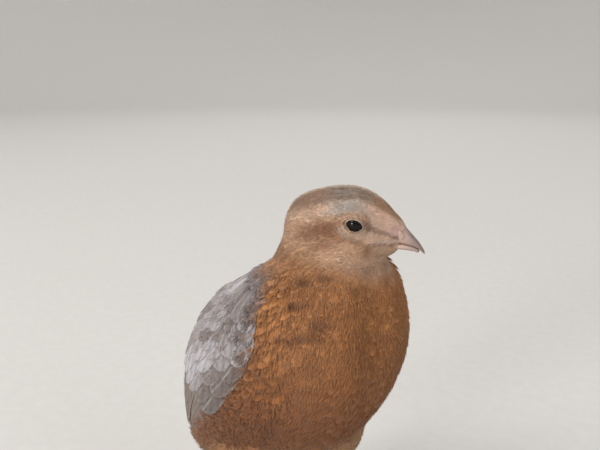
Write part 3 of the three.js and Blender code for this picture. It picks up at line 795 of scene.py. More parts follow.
def coat_depth(spots):
    """How deep the coat is, in millimetres, at places on the solids."""
    q = head_place(spots)
    face = mix(0.55, 0.16, step(4, 12.5, q[:, 0]))
    t, _, _ = trunk_place(spots)
    body = mix(1.35, 0.95, step(0.78, 0.95, t))
    return mix(body, face, head_share(spots))


def end_round(along, share=0.05):
    """Closes the ends of a moulded form."""
    near = np.minimum(along, 1 - along)
    return np.sqrt(np.clip(near / share, 0, 1) * (2 - np.clip(near / share, 0, 1)))


def trunk_skin(turn, along):
    """The trunk, under its coat, with a shallow fold under each crease and spot of the breast."""
    whole = trunk_point(along, turn)
    return trunk_point(along, turn, -coat_depth(whole) - 0.7 * breast_crease_shade_and_spots(whole), end_round(along))


def skull_point(turn, along, out=0.0):
    """A place on the skull, dented beside the eyes, in the head's own measures."""
    x, top, bottom, side = through(SKULL, along).T
    lift = np.cos(turn)
    height = np.where(lift > 0, top - SKULL_MID, SKULL_MID - bottom)
    close = end_round(along, 0.02)
    z = SKULL_MID + close * (height + out) * lift
    dent = 0.9 * np.exp(-((np.hypot(x, z) / 5.5) ** 4))
    return np.stack([x, close * (side + out - dent) * np.sin(turn), z], 1)


def skull_skin(turn, along):
    """The skull, under its coat."""
    return in_head(skull_point(turn, along, -coat_depth(in_head(skull_point(turn, along)))))


def frontlet(turn, along):
    """The feathered wedge that covers the root of the upper bill."""
    x = mix(9.0, 15.0, along)
    top = np.interp(x, [9, 12, 14.1, 15.0], [3.6, 1.2, -1.0, -2.2])
    bottom = np.interp(x, [9, 12, 15.0], [-3.0, -2.6, -3.4])
    side = np.interp(x, [9, 12, 14.1, 15.0], [4.8, 3.7, 2.7, 1.6])
    close = end_round(along, 0.12)
    z = (top + bottom) / 2 + close * (top - bottom) / 2 * np.cos(turn)
    return in_head(np.stack([x, close * side * np.sin(turn), z], 1))


def lid_opening(q, grow):
    """Less than 1 inside the lids' opening, grown by some millimetres."""
    c, s = math.cos(EYE["tilt"]), math.sin(EYE["tilt"])
    x, z = q[:, 0] * c + q[:, 2] * s, -q[:, 0] * s + q[:, 2] * c
    return np.hypot(x / (EYE["half"] + grow), z / (EYE["height"] + grow))


def lid_bulge(side):
    """A ball a little larger than the eye, so that brow and lids cover it."""

    def place(turn, along):
        ring = np.sin(along * np.pi)
        ways = np.stack([ring * np.cos(turn), ring * np.sin(turn), np.cos(along * np.pi)], 1)
        return in_head(ways * (EYE["radius"] + 0.42) + [0, side * EYE["y"], 0])

    return place


def thigh_skin(side):
    """The feathered thigh, a round limb along the leg's bones."""

    def place(turn, along):
        spot = through(LEG[:4], along, False) * [1, side, 1]
        onward = through(LEG[:4], along + 1e-3, False) - through(LEG[:4], along - 1e-3, False)
        ahead = unit(onward) * [1, side, 1]
        cross = unit(np.cross(ahead, [1.0, 0, 0.4]))
        other = np.cross(cross, ahead)
        radius = (through(THIGH, along)[:, 0] - 1.0) * end_round(along, 0.08)
        return spot + cross * (radius * np.cos(turn))[:, None] + other * (radius * np.sin(turn))[:, None]

    return place


def tail_stump(turn, along):
    """The flat stump that carries the tail's feathers."""
    reach = -np.cos(along * np.pi) * 9
    wide, high = 6.8 * np.sin(along * np.pi), 2.3 * np.sin(along * np.pi)
    return tail_point(reach - 4, wide * np.sin(turn), high * np.cos(turn) - 2)


def tail_point(x, y, z):
    """Turns places from the tail's own measures, where -x runs to its tip."""
    c, s = math.cos(TAIL["drop"]), math.sin(TAIL["drop"])
    return np.stack([x * c - z * s + TAIL["x"], y, x * s + z * c + TAIL["z"]], 1)


forms = [moulded("trunk", 72, 64, trunk_skin), moulded("skull", 64, 48, skull_skin)]
forms += [moulded("thigh", 32, 24, thigh_skin(side)) for side in SIDES.values()]
forms += [moulded("stump", 24, 12, tail_stump)]
forms += [moulded("frontlet", 32, 20, frontlet)]
forms += [moulded("lid_bulge", 48, 32, lid_bulge(side)) for side in SIDES.values()]
print("the forms have", sum(len(f.data.vertices) for f in forms), "points")

# %% [markdown]
# The balls are joined, and the remesh builds one new surface round them all. Passes of
# smoothing then melt the neck into the shoulders. The eyes' openings are pressed in
# afterwards, so that the balls of the eyes lie free behind their lids.

# %% Melt them into one skin
SKIN_VOXEL = 0.75
only(*forms)
bpy.ops.object.join()
skin = bpy.context.object
skin.name = "skin"
applied(skin, "REMESH", mode="VOXEL", voxel_size=SKIN_VOXEL * MM)
smoothed(skin, 4)
spots = bird_spots(skin)
q = head_place(spots)
around_neck = head_share(spots) * step(-2, -10, q[:, 0]) + band(trunk_place(spots)[0], 0.84, 0.08, 0.08)
group = skin.vertex_groups.new(name="neck")
for i in np.flatnonzero(around_neck > 0.02):
    group.add([int(i)], float(min(1, around_neck[i])), "REPLACE")
applied(skin, "SMOOTH", factor=0.5, iterations=26, vertex_group="neck")
# the skin is pressed in where the lids open
q = head_place(bird_spots(skin))
pressed = (lid_opening(q, 0.45) < 1) & (np.abs(q[:, 1]) > 6)
q[pressed, 1] = np.sign(q[pressed, 1]) * (EYE["y"] + 0.5)
set_spots(skin, in_head(q))
print("skin of", len(skin.data.polygons), "faces")

# %% [markdown]
# Feathers are laid by arithmetic, on places anywhere on the skin. So its triangles,
# normals and map are read back into arrays, and a search tree finds the nearest place
# on it. On a baked map each feather's patch lies where its root is on this one.

# %% Unwrap the skin, and read it back as numbers
edited(skin, bpy.ops.uv.smart_project, angle_limit=math.radians(72), island_margin=0.004)
skin.data.uv_layers[0].name = "OFBake"
skin_spots = bird_spots(skin)
skin.data.calc_loop_triangles()
triangles = rows_of(skin.data.loop_triangles, "vertices", 3, int)
corners = rows_of(skin.data.loop_triangles, "loops", 3, int)
skin_map = rows_of(skin.data.uv_layers[0].data, "uv", 2)
skin_normals = rows_of(skin.data.vertices, "normal", 3)
skin_tree = BVHTree.FromPolygons(skin_spots.tolist(), triangles.tolist())
print("the skin has", len(triangles), "triangles and its map", len(skin_map), "corners")

# %% [markdown]
# The skin gets the plumage's own colours, painted a little darker as shade, because it
# only shows in the depth between feathers.

# %% Paint the skin
def paint(piece, name, colours):
    """Keeps one colour for each point in an attribute."""
    layer = piece.data.attributes.new(name, "FLOAT_COLOR", "POINT")
    full = np.ones((len(colours), 4))
    full[:, :3] = np.clip(colours, 0, 1)
    layer.data.foreach_set("color", full.ravel())


# painted shade: the skin is darker than the plumage over it
paint(skin, "plumage", plumage(skin_spots) * 0.9)
skin.data.materials.append(skin_down)
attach(skin, "root")
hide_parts("torso", "neck", "head", "thigh_left", "thigh_right")
print("skin painted")

# %% [markdown]
# ## Which way the feathers lie
# Feathers point away from the bill: back over the skull, around the eye as water
# flows round a stone, down the neck, then along the body to the tail. On the breast
# they part a little from the middle line, and beside the folded wing they turn
# towards it and lie over its edge. The field below gives that direction at any place.


# %% The lie of the coat
def lie_at(spots, normals):
    """Direction in which a feather rooted at each place points."""
    t, turn, height = trunk_place(spots)
    _, heading, to_back = spine_at(t)
    sidewards = np.zeros_like(spots)
    sidewards[:, 1] = 1
    middle = np.clip(spots[:, 1] / 9, -1, 1)
    around = np.abs(turn)
    part = 0.22 * step(115, 150, around) * step(0.35, 0.55, t)
    part = part + 0.25 * step(60, 30, around) * step(0.3, 0.5, t)
    part -= 0.25 * step(0.3, 0.1, t)
    body = -heading + sidewards * (middle * part)[:, None]
    u, v = wing_place(t, turn)
    beside = step(1.32, 1.05, v) * step(0.9, 1.0, v) * step(-0.2, 0.1, u) * step(1.0, 0.8, u)
    upward = np.stack([np.zeros(len(t)), -np.sign(spots[:, 1]) * 0.2, np.zeros(len(t))], 1) + to_back * 0.8
    body = body + upward * (beside * 0.5)[:, None]
    above = step(-0.35, -0.1, v) * step(0.1, 0.0, v) * step(-0.1, 0.1, u) * step(0.9, 0.7, u)
    body = body + sidewards * (np.sign(spots[:, 1]) * above * 0.3)[:, None]
    # the thighs' feathers run down the leg
    body = mix(body, np.array([[-0.5, 0, -0.85]]), thigh_share(spots, height))
    # the head's feathers run back and round the eyes
    q = head_place(spots)
    x, z = q[:, 0], q[:, 2]
    level = np.stack([-np.ones(len(q)), np.zeros(len(q)), -0.10 - 0.45 * step(-2, -12, z)], 1)
    squared = np.maximum(x * x + z * z, 6.0)
    stone = 9.0
    flow = np.stack([stone * (x * x - z * z), np.zeros(len(q)), 2 * stone * x * z], 1)
    round_eye = flow / (squared**2)[:, None]
    on_side = step(3.0, 6.5, np.abs(q[:, 1]))
    head = level + round_eye * on_side[:, None]
    lie = mix(unit(body), unit(head) @ HEAD_AXES, head_share(spots))
    lie = lie - normals * (lie * normals).sum(1)[:, None]
    return unit(lie)


def feather_length(spots):
    """Length of a coat feather: shortest by the bill, longest on the back."""
    q = head_place(spots)
    from_bill = np.linalg.norm(q - np.array([13, 0, -4]), axis=1)
    from_eye = np.hypot(np.hypot(q[:, 0], q[:, 2]), np.maximum(np.abs(q[:, 1]) - 9, 0))
    head = np.clip(0.75 + 0.105 * from_bill, 0.9, 3.6) * mix(0.55, 1.0, step(2.5, 7.0, from_eye))
    t, _, height = trunk_place(spots)
    body = mix(9.2, 3.6, step(0.52, 0.86, t))
    body = mix(body, 4.5, thigh_share(spots, height))
    return mix(body, head, head_share(spots))


print("lengths", feather_length(trunk_point(np.array([0.2, 0.6, 0.9]), np.array([2.5, 2.5, 2.5]))).round(1))

# %% [markdown]
# ## Where the roots are
# Real feathers stand in even rows. Points are thrown on the skin at random, and each
# one that is kept clears its neighbourhood, whose size grows with the feather. That
# spaces them evenly without a visible grid. The throw is seeded, so that the coat is
# the same at every run.


# %% Scatter roots
def thrown(count, seed):
    """Random places on the skin: place, normal and place on the skin's map."""
    dice = np.random.default_rng(seed)
    a, b, c = (skin_spots[triangles[:, k]] for k in range(3))
    area = np.linalg.norm(np.cross(b - a, c - a), axis=1)
    pick = dice.choice(len(triangles), count, p=area / area.sum())
    r, s = dice.random(count), dice.random(count)
    flip = r + s > 1
    r[flip], s[flip] = 1 - r[flip], 1 - s[flip]
    w = np.stack([1 - r - s, r, s], 1)[:, :, None]
    spots = (skin_spots[triangles[pick]] * w).sum(1)
    normals = unit((skin_normals[triangles[pick]] * w).sum(1))
    places = (skin_map[corners[pick]] * w).sum(1)
    return spots, normals, places


def spaced(spots, spacing):
    """Indices of places that keep their spacing."""
    tree = KDTree(len(spots))
    for i, spot in enumerate(spots):
        tree.insert(spot, i)
    tree.balance()
    free = np.ones(len(spots), bool)
    kept = []
    for i in range(len(spots)):
        if free[i]:
            kept.append(i)
            for _, j, _ in tree.find_range(spots[i], spacing[i]):
                free[j] = False
    return np.array(kept)


def root_spacing(spots):
    """How far apart the roots stand, in millimetres."""
    return 0.12 + 0.145 * feather_length(spots)


THROWS = 200000
spots, normals, places = thrown(THROWS, 11)
t, turn, height = trunk_place(spots)
u, v = wing_place(t, turn)
hidden = (u > 0.14) & (u < 0.9) & (v > 0.12) & (v < 0.86) & (height < 2) & (head_share(spots) < 0.1)
q = head_place(spots)
keep = ~hidden & ~((lid_opening(q, 0.42) < 1) & (np.abs(q[:, 1]) > 4))
ragged = np.where(q[:, 2] > -1.5, 14.3, 12.6) - 1.4 * np.random.default_rng(12).random(len(spots))
keep &= ~((q[:, 0] > ragged) & (head_share(spots) > 0.5))
keep &= (spots[:, 2] > 33.2 + 1.2 * np.random.default_rng(13).random(len(spots))) | (height < 1)
spots, normals, places = spots[keep], normals[keep], places[keep]
kept = spaced(spots, root_spacing(spots))
roots = {"spot": spots[kept], "normal": normals[kept], "map": places[kept]}
print(len(kept), "feather roots")


# %% [markdown]
# ## One feather, laid thousands of times
# A coat feather is modelled once as a thin leaf of a few faces: narrow at its quill,
# broad past the middle, with a rounded tip and a slight ridge. It is then bent along
# the skin at each root. It rises from the skin to the coat's depth at its tip, so each
# feather covers the root of the next, as tiles do.


# %% The leaf and how it is bent
def leaf(rows, columns):
    """Points (along, across, height) and faces of a closed leaf with pointed ends."""
    spots, faces, vane, patch = [(0.0, 0.0, 0.0)], [], [], []
    wide = len(columns)
    for along, half in rows:
        for across in columns:
            ridge = 1 - across * across
            spots.append((along, across * half, 0.5 * ridge))
        for across in columns[1:-1]:
            ridge = 1 - across * across
            spots.append((along, across * half, -0.5 * ridge))
    spots.append((1.0, 0.0, 0.0))
    ring = wide + wide - 2
    tip = len(spots) - 1

    def top(row, column):
        return 1 + row * ring + column

    def under(row, column):
        inner = 0 < column < wide - 1
        return 1 + row * ring + (wide + column - 1 if inner else column)

    def add(face, marks, low):
        faces.append(face)
        vane.extend(marks)
        patch.extend([(m[0], (m[1] + low) / 2) for m in marks])

    share = [(c + 1) / 2 for c in columns]
    for c in range(wide - 1):
        ends = [(rows[0][0], share[c]), (rows[0][0], share[c + 1])]
        add((0, top(0, c), top(0, c + 1))[::-1], [(0, 0.5), *ends][::-1], 0)
        add((0, under(0, c), under(0, c + 1)), [(0, 0.5), *ends], 1)
        for r in range(len(rows) - 1):
            near, far = rows[r][0], rows[r + 1][0]
            marks = [(near, share[c]), (far, share[c]), (far, share[c + 1]), (near, share[c + 1])]
            add((top(r, c), top(r + 1, c), top(r + 1, c + 1), top(r, c + 1))[::-1], marks[::-1], 0)
            add((under(r, c), under(r + 1, c), under(r + 1, c + 1), under(r, c + 1)), marks, 1)
        last = len(rows) - 1
        ends = [(rows[last][0], share[c + 1]), (rows[last][0], share[c])]
        add((tip, top(last, c + 1), top(last, c))[::-1], [(1, 0.5), *ends][::-1], 0)
        add((tip, under(last, c + 1), under(last, c)), [(1, 0.5), *ends], 1)
    spots = np.array(spots)
    rim = np.zeros(len(spots), bool)
    for r in range(len(rows)):
        rim[[top(r, 0), top(r, wide - 1)]] = True
    rim[[0, tip]] = True
    return {"spots": spots, "faces": faces, "vane": np.array(vane), "patch": np.array(patch), "rim": rim}


# rows of a leaf: share along it, and half its width there
SMALL_ROWS = [(0.22, 0.62), (0.5, 1.0), (0.76, 0.92), (0.93, 0.52)]
BROAD_ROWS = [(0.14, 0.5), (0.3, 0.82), (0.5, 1.0), (0.7, 0.98), (0.86, 0.76), (0.96, 0.42)]
SMALL_LEAF = leaf(SMALL_ROWS, [-1, 0, 1])
BROAD_LEAF = leaf(BROAD_ROWS, [-1, -0.5, 0, 0.5, 1])
print("a small feather has", len(SMALL_LEAF["faces"]), "faces, a broad one", len(BROAD_LEAF["faces"]))


def stations(spots, normals, lie, length):
    """Root, middle and tip of each feather on the skin, with the normals there."""
    places, ups = [spots], [normals]
    here, way = spots, lie
    for _ in range(2):
        ahead = here + way * (length / 2)[:, None]
        found = [skin_tree.find_nearest(p) for p in ahead.tolist()]
        here = np.array([f[0] for f in found])
        up = np.array([f[1] for f in found])
        places.append(here)
        ups.append(up)
        way = unit(way - up * (way * up).sum(1)[:, None])
    return np.stack(places, 1), np.stack(ups, 1)


def curve_at(values, s):
    """The curve through three stations, at shares s of each feather."""
    a, b, c = (values[:, k][:, None, :] for k in range(3))
    s = s[..., None]
    return a * (1 - s) * (1 - 2 * s) + b * 4 * s * (1 - s) + c * s * (2 * s - 1)


def bent(form, places, ups, half, thick, base, lift, curl):
    """The points of one leaf at every root, as an array of feathers by points by 3."""
    s = np.broadcast_to(form["spots"][:, 0], (len(places), len(form["spots"])))
    line = curve_at(places, s)
    ahead = unit(curve_at(places, np.minimum(s + 0.02, 1.02)) - curve_at(places, s - 0.02))
    up = unit(curve_at(ups, s))
    up = unit(up - ahead * (up * ahead).sum(2, keepdims=True))
    across = np.cross(up, ahead)
    wide = form["spots"][:, 1] * half[:, None]
    rise = base[:, None] + lift[:, None] * s**0.75 + curl[:, None] * s**3
    rise = rise + form["spots"][:, 2] * thick[:, None] - 0.05 * np.abs(wide) * np.abs(form["spots"][:, 1])
    return line + across * wide[..., None] + up * rise[..., None]


def joined_mesh(name, form, spots, roots_map, colours, marks, patch_size=0.003):
    """One mesh from the same leaf many times, with its colours, marks and maps."""
    count, points = spots.shape[:2]
    sizes = np.array([len(f) for f in form["faces"]])
    flat = np.concatenate([np.array(f) for f in form["faces"]])
    loops = (flat[None] + (np.arange(count) * points)[:, None]).ravel()
    mesh = bpy.data.meshes.new(name)
    mesh.vertices.add(count * points)
    mesh.vertices.foreach_set("co", ((spots + SHIFT) * MM).ravel())
    mesh.loops.add(len(loops))
    mesh.loops.foreach_set("vertex_index", loops)
    starts = np.concatenate([[0], np.cumsum(np.tile(sizes, count))[:-1]])
    mesh.polygons.add(len(starts))
    mesh.polygons.foreach_set("loop_start", starts)
    mesh.update(calc_edges=True)
    vane = mesh.uv_layers.new(name="Vane")
    vane.data.foreach_set("uv", np.tile(form["vane"], (count, 1)).ravel())
    bake = mesh.uv_layers.new(name="OFBake")
    patch = (form["patch"] - 0.5) * patch_size
    roots_map = np.clip(roots_map, 0.002, 0.998)
    bake.data.foreach_set("uv", (roots_map[:, None] + patch[None]).ravel())
    piece = bpy.data.objects.new(name, mesh)
    bpy.context.collection.objects.link(piece)
    paint(piece, "plumage", colours.reshape(-1, 3))
    paint(piece, "marks", marks.reshape(-1, 3))
    only(piece)
    bpy.ops.object.shade_smooth()
    # a thin leaf keeps its edge sharp, or its face would shade like a pillow
    rim = np.tile(form["rim"], count)[rows_of(mesh.edges, "vertices", 2, int)].all(1)
    mesh.attributes.new("sharp_edge", "BOOLEAN", "EDGE").data.foreach_set("value", rim)
    return piece


# %% [markdown]
# Every feather gets its own size, turn and tone, drawn at random around the rule. Those
# beside the wing are raised, so that they cover its edges as a live bird's do, and those
# on the thighs are longer at the hem. A few numbers for each feather bend the leaf: its
# length, half its width, its thickness, its rise to the coat's depth and a slight curl.

# %% Lay the coat
EDGE_LIFT = {"ahead": 0.7, "front": 1.7, "lower": 2.4, "upper": 1.9}
dice = np.random.default_rng(21)
spots, normals = roots["spot"], roots["normal"]
count = len(spots)
lie = lie_at(spots, normals)
swing = np.radians(dice.normal(0, 6, count))
lie = lie * np.cos(swing)[:, None] + np.cross(normals, lie) * np.sin(swing)[:, None]
share_head = head_share(spots)
t, turn, height = trunk_place(spots)
u, v = wing_place(t, turn)
# how near each root is to an edge of the folded wing
front_edge = step(-0.26, -0.05, u) * step(0.3, 0.1, u) * step(-0.4, -0.12, v) * step(1.1, 0.95, v)
lower_edge = step(-0.15, 0.05, u) * step(1.05, 0.8, u) * step(0.93, 1.01, v) * step(1.32, 1.08, v)
upper_edge = step(-0.32, -0.08, v) * step(0.06, -0.02, v) * step(-0.1, 0.1, u) * step(0.8, 0.55, u)
on_thigh = thigh_share(spots, height)
length = feather_length(spots) * dice.uniform(0.88, 1.12, count)
length = length * (1 - 0.15 * np.maximum(front_edge, lower_edge))
longer = dice.uniform(-0.2, 0.4, count)
length *= 1 + on_thigh * (longer + 0.35 * step(42, 35, spots[:, 2]) * dice.random(count))
half = length * mix(0.36, 0.23, share_head) * dice.uniform(0.9, 1.1, count)
half = half * (1 - np.maximum(0.34 * lower_edge, 0.18 * on_thigh))
depth = coat_depth(spots)
raised = mix(EDGE_LIFT["ahead"], EDGE_LIFT["front"], step(-0.12, 0.03, u)) * front_edge
raised = np.maximum(raised, EDGE_LIFT["upper"] * upper_edge) + EDGE_LIFT["lower"] * lower_edge
lift = depth * dice.uniform(0.85, 1.05, count) + raised * (share_head < 0.3)
lift += 0.8 * on_thigh * dice.random(count)
base = np.where(share_head > 0.5, 0.03, 0.08)
curl = depth * dice.normal(-0.05, 0.06, count)
thick = 0.014 * length + 0.012
places, ups = stations(spots, normals, lie, length)
ends = [places[:, 0] * 0.6 + places[:, 1] * 0.4, places[:, 1] * 0.3 + places[:, 2] * 0.7]
root_colour, tip_colour = (plumage(e) for e in ends)
# painted shade: feathers over the wing's lower edge, which stand up into the light, are made a tenth darker
tone = (dice.normal(1.0, 0.035, count) * (1 - 0.1 * lower_edge))[:, None]
mantle = step(0.84, 0.70, t) * step(75, 55, np.abs(turn)) * (share_head < 0.5)
streak = mantle * dice.uniform(0.0, 0.4, count)
fringe = mix(0.10, 0.35, mantle) * dice.uniform(0.3, 1.0, count)
barred = mantle * dice.uniform(0.0, 0.5, count)
feather_marks = np.stack([streak, fringe, barred], 1)


def add_crease_shade_and_spots(colours, spots):
    """Paints the breast's darker spots and the shade in its creases on each point of the feathers."""
    flat = spots.reshape(-1, 3)
    near = np.flatnonzero((flat[:, 2] > 104) & (flat[:, 2] < 128) & (flat[:, 0] > 12))
    dark = np.zeros(len(flat))
    dark[near] = breast_crease_shade_and_spots(flat[near])
    return mix(colours.reshape(-1, 3), BREAST_DEEP[None] * 0.7, dark * 0.85).reshape(colours.shape)


def feather_colours(form, first, last, tone):
    """Colours of a leaf's points, from its root's colour to its tip's, painted darker as shade, most at the
    root.
    """
    s = form["spots"][:, 0][None, :, None]
    colour = first[:, None] * (1 - s) + last[:, None] * s
    return colour * tone[:, None] * (0.92 + 0.03 * s)


def lay(name, chosen, form):
    """Makes one piece of the coat from the chosen roots."""
    shape = (values[chosen] for values in (places, ups, half, thick, base, lift, curl))
    bent_spots = bent(form, *shape)
    colours = feather_colours(form, root_colour[chosen], tip_colour[chosen], tone[chosen])
    colours = add_crease_shade_and_spots(colours, bent_spots)
    marks = np.repeat(feather_marks[chosen][:, None], len(form["spots"]), 1)
    piece = joined_mesh(name, form, bent_spots, roots["map"][chosen], colours, marks)
    piece.data.materials.append(coat_soft)
    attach(piece, "root")
    print(name, len(chosen), "feathers,", len(piece.data.polygons), "faces")
    return piece


face_chosen = np.flatnonzero(share_head > 0.5)
mantle_chosen = np.flatnonzero((mantle > 0.4) & (share_head <= 0.5))
body_chosen = np.flatnonzero((mantle <= 0.4) & (share_head <= 0.5))
lay("face_feathers", face_chosen, SMALL_LEAF)
lay("mantle_feathers", mantle_chosen, BROAD_LEAF)
for part, share in enumerate(np.array_split(body_chosen, 2)):
    lay("body_feathers_" + str(part + 1), share, SMALL_LEAF)

# %% [markdown]
# ## Loose barbs
# Up close the edge of a soft feather isn't a line: single barbs stand past it. They
# are slim spindles of six faces, rooted on the feathers and splayed a little from
# the shaft, and they make the coat look soft instead of scaly.

# %% Splay barbs over the feathers
BARB = {
    "spots": np.array([(0, 0, 0), (0.45, -1, -0.3), (0.45, 1, -0.3), (0.45, 0, 0.7), (1, 0, 0)], float),
    "faces": [(0, 3, 1), (0, 2, 3), (0, 1, 2), (4, 1, 3), (4, 3, 2), (4, 2, 1)],
}
BARB["rim"] = np.zeros(5, bool)
at_corners = BARB["spots"][[i for f in BARB["faces"] for i in f]]
BARB["vane"] = np.stack([at_corners[:, 0], np.full(len(at_corners), 0.5)], 1)
BARB["patch"] = np.stack([at_corners[:, 0], (at_corners[:, 1] + 1) / 2], 1)


def spindles(foot, way, cross, up, long, wide, bow):
    """The points of one barb at every foot, where bow is how far each point is lifted."""
    unit_s, unit_a, _ = BARB["spots"].T
    spots = foot[:, None] + way[:, None] * (long[:, None] * unit_s)[..., None]
    spots = spots + cross[:, None] * (wide[:, None] * unit_a)[..., None]
    return spots + up[:, None] * bow[..., None]


def barbs(name, chosen, each, reach, width, rise, seed):
    """Barbs on the chosen feathers, twice as many beside the wing.

    each is how many one feather has, reach their share of its length, width half
    their width, and rise how steeply they stand up.
    """
    dice = np.random.default_rng(seed)
    at_wing = np.maximum(front_edge, lower_edge)[chosen] > 0.12
    owner = np.repeat(chosen, np.where(at_wing, 2 * each, each))
    count = len(owner)
    s = dice.uniform(0.42, 0.99, count)
    a = dice.uniform(-0.95, 0.95, count)
    outline = np.interp(s, [0, 0.22, 0.5, 0.76, 0.93, 1], [0.1, 0.62, 1, 0.92, 0.52, 0.15])
    line = curve_at(places[owner], s[:, None])[:, 0]
    before, after = (curve_at(places[owner], s[:, None] + off)[:, 0] for off in (-0.03, 0.03))
    ahead = unit(after - before)
    up = unit(curve_at(ups[owner], s[:, None])[:, 0])
    across = np.cross(up, ahead)
    side = a * half[owner] * outline
    floor_height = base[owner] + lift[owner] * s**0.75 + curl[owner] * s**3 + 0.3 * thick[owner]
    foot = line + across * side[:, None] + up * floor_height[:, None]
    splay = np.radians(a * 26 + dice.normal(0, 7, count))
    way = ahead * np.cos(splay)[:, None] + across * np.sin(splay)[:, None]
    long = length[owner] * reach * dice.uniform(0.7, 1.3, count)
    slope = 0.75 * (depth + 0.4 * (lift - depth))[owner] * s**-0.25 / length[owner]
    lifted = (slope + rise * dice.uniform(-0.1, 1.0, count)) * long
    gravity = -0.5 * (long / 33.0) * long
    unit_s, _, unit_h = BARB["spots"].T
    wide = width * dice.uniform(0.7, 1.3, count)
    bow = lifted[:, None] * unit_s + gravity[:, None] * unit_s**2 + wide[:, None] * unit_h
    spots = spindles(foot, way, np.cross(up, way), up, long, wide, bow)
    colour = mix(root_colour[owner], tip_colour[owner], s) * tone[owner]
    # painted light and shade: barbs are a little lighter than the leaves under them, and darker towards their
    # roots
    colour = colour * dice.normal(1.04, 0.055, count)[:, None]
    colours = np.repeat(colour[:, None], len(unit_s), 1) * (0.95 + 0.08 * unit_s)[None, :, None]
    colours = add_crease_shade_and_spots(colours, spots)
    marks = np.zeros_like(colours)
    piece = joined_mesh(name, BARB, spots, roots["map"][owner], colours, marks)
    piece.data.materials.append(coat_soft)
    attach(piece, "root")
    print(name, count, "barbs")
    return piece


barbs("face_barbs", face_chosen, 7, 0.65, 0.045, 0.07, 31)
barbs("mantle_barbs", mantle_chosen, 16, 0.30, 0.09, 0.05, 32)
for part, share in enumerate(np.array_split(body_chosen, 3)):
    barbs("breast_barbs_" + str(part + 1), share, 14, 0.42, 0.11, 0.06, 33 + part)

# %% [markdown]
# ## The folded wings
# Rows of coverts overlap on a folded wing like roof tiles, small ones by the shoulder
# and longer ones behind. Under them come the secondaries, with the long primaries
# below and the broad tertials above. Each row is a loop over the same leaf, laid
# on the wing's own surface: a share along the wing and a share down it. Loose barbs
# stand on the vanes' edges, so that their outline isn't a clean cut.


# %% Wing vanes
def wing_point(side, u, v, out):
    """A place on the wing: share along it, share down it, and height over the trunk."""
    t = mix(WING["front"], WING["rear"], u)
    turn = mix(through(WING["upper"], u)[:, 0], through(WING["lower"], u)[:, 0], v)
    return trunk_point(t, side * np.radians(turn), out)


def wing_core(side):
    """The down-covered hand and arm under the vanes, as a flat cushion."""

    def place(turn, along):
        disc = np.minimum(1, np.sin(along * np.pi) * 1.02)
        u, v = 0.5 - 0.48 * disc * np.cos(turn), 0.5 - 0.47 * disc * np.sin(turn)
        out = np.where(along < 0.5, -2.5, 1.7 * np.sqrt(np.maximum(0, 1 - disc**6)))
        return wing_point(side, u, v, out)

    return place


QUILL_ROWS = [(0.08, 0.5), (0.2, 0.8), (0.35, 0.96), (0.5, 1.0), (0.65, 0.99)]
QUILL_ROWS += [(0.78, 0.9), (0.88, 0.74), (0.95, 0.52), (0.985, 0.28)]
QUILL = leaf(QUILL_ROWS, [-1, -0.6, -0.12, 0, 0.12, 0.6, 1])
WING_ROWS = {
    # name: count, start above, start below, reach, strip from, strip to, half width, rise at root, at tip
    "lesser_1": (8, 0.00, 0.02, 0.13, 0.10, 0.90, 3.4, 0.3, 1.2),
    "lesser_2": (9, 0.055, 0.065, 0.13, 0.08, 0.92, 3.5, 0.2, 1.1),
    "lesser_3": (10, 0.11, 0.115, 0.14, 0.06, 0.94, 3.5, 0.2, 1.1),
    "lesser_4": (10, 0.165, 0.165, 0.14, 0.05, 0.95, 3.5, 0.2, 1.1),
    "median": (10, 0.225, 0.22, 0.17, 0.05, 0.95, 3.7, 0.2, 1.1),
    "greater": (11, 0.30, 0.28, 0.22, 0.05, 0.96, 3.4, 0.2, 1.1),
    "secondary": (7, 0.42, 0.42, 0.42, 0.40, 0.76, 3.3, 0.1, 0.8),
    "primary": (7, 0.42, 0.42, 0.55, 0.74, 0.97, 2.7, -0.2, 0.3),
    "tertial": (5, 0.38, 0.42, 0.46, 0.04, 0.42, 5.0, 0.3, 1.6),
}


def wing_vanes():
    """Every vane of a wing: its place, size, colours and marks."""
    dice = np.random.default_rng(40)
    vanes = []
    for name, (count, above, below, reach, first, last, half, low, high) in WING_ROWS.items():
        for share in (np.arange(count) + 0.5) / count:
            # Pale silver patches: partly the plumage's whitish spots, partly painted highlights on the wing.
            patch = math.sin(9 * above + 2.2) * math.sin(7 * share + 0.6) + dice.normal(0, 0.35)
            colour = SILVER * dice.uniform(0.9, 1.05)
            colour = mix(colour, SILVER_PALE_AND_HIGHLIGHT, np.clip(0.25 + 0.6 * patch, 0, 0.9))
            colour = mix(colour, SLATE, np.clip(-0.5 * patch, 0, 0.4))
            # Painted shade: the vanes darken towards the wing's lower edge, and the grey-brown flight
            # feathers are darkened further.
            colour = colour * (1 - 0.22 * max(0, share - 0.45) / 0.55)
            if name in ("primary", "secondary"):
                colour = mix(SILVER, RUMP, 0.6) * dice.uniform(0.68, 0.82)
            if name == "tertial":
                colour = mix(SILVER, SLATE, 0.35) * dice.uniform(0.9, 1.1)
            streak = {"primary": 0.1, "secondary": 0.15}.get(name, 0.22) * dice.uniform(0.1, 1.1)
            bars = {"primary": 0.35, "secondary": 0.55, "tertial": 0.6, "greater": 0.45}.get(name, 0.3)
            vanes.append({
                "start": above + (below - above) * share + dice.normal(0, 0.004),
                "strip": first + (last - first) * share,
                "reach": reach * dice.uniform(0.95, 1.05),
                "half": half,
                "rise": (low, high),
                "colour": colour,
                "marks": [streak, 0.3 * dice.uniform(0.4, 1.1), bars * dice.uniform(0.5, 1.2)],
            })
    return vanes


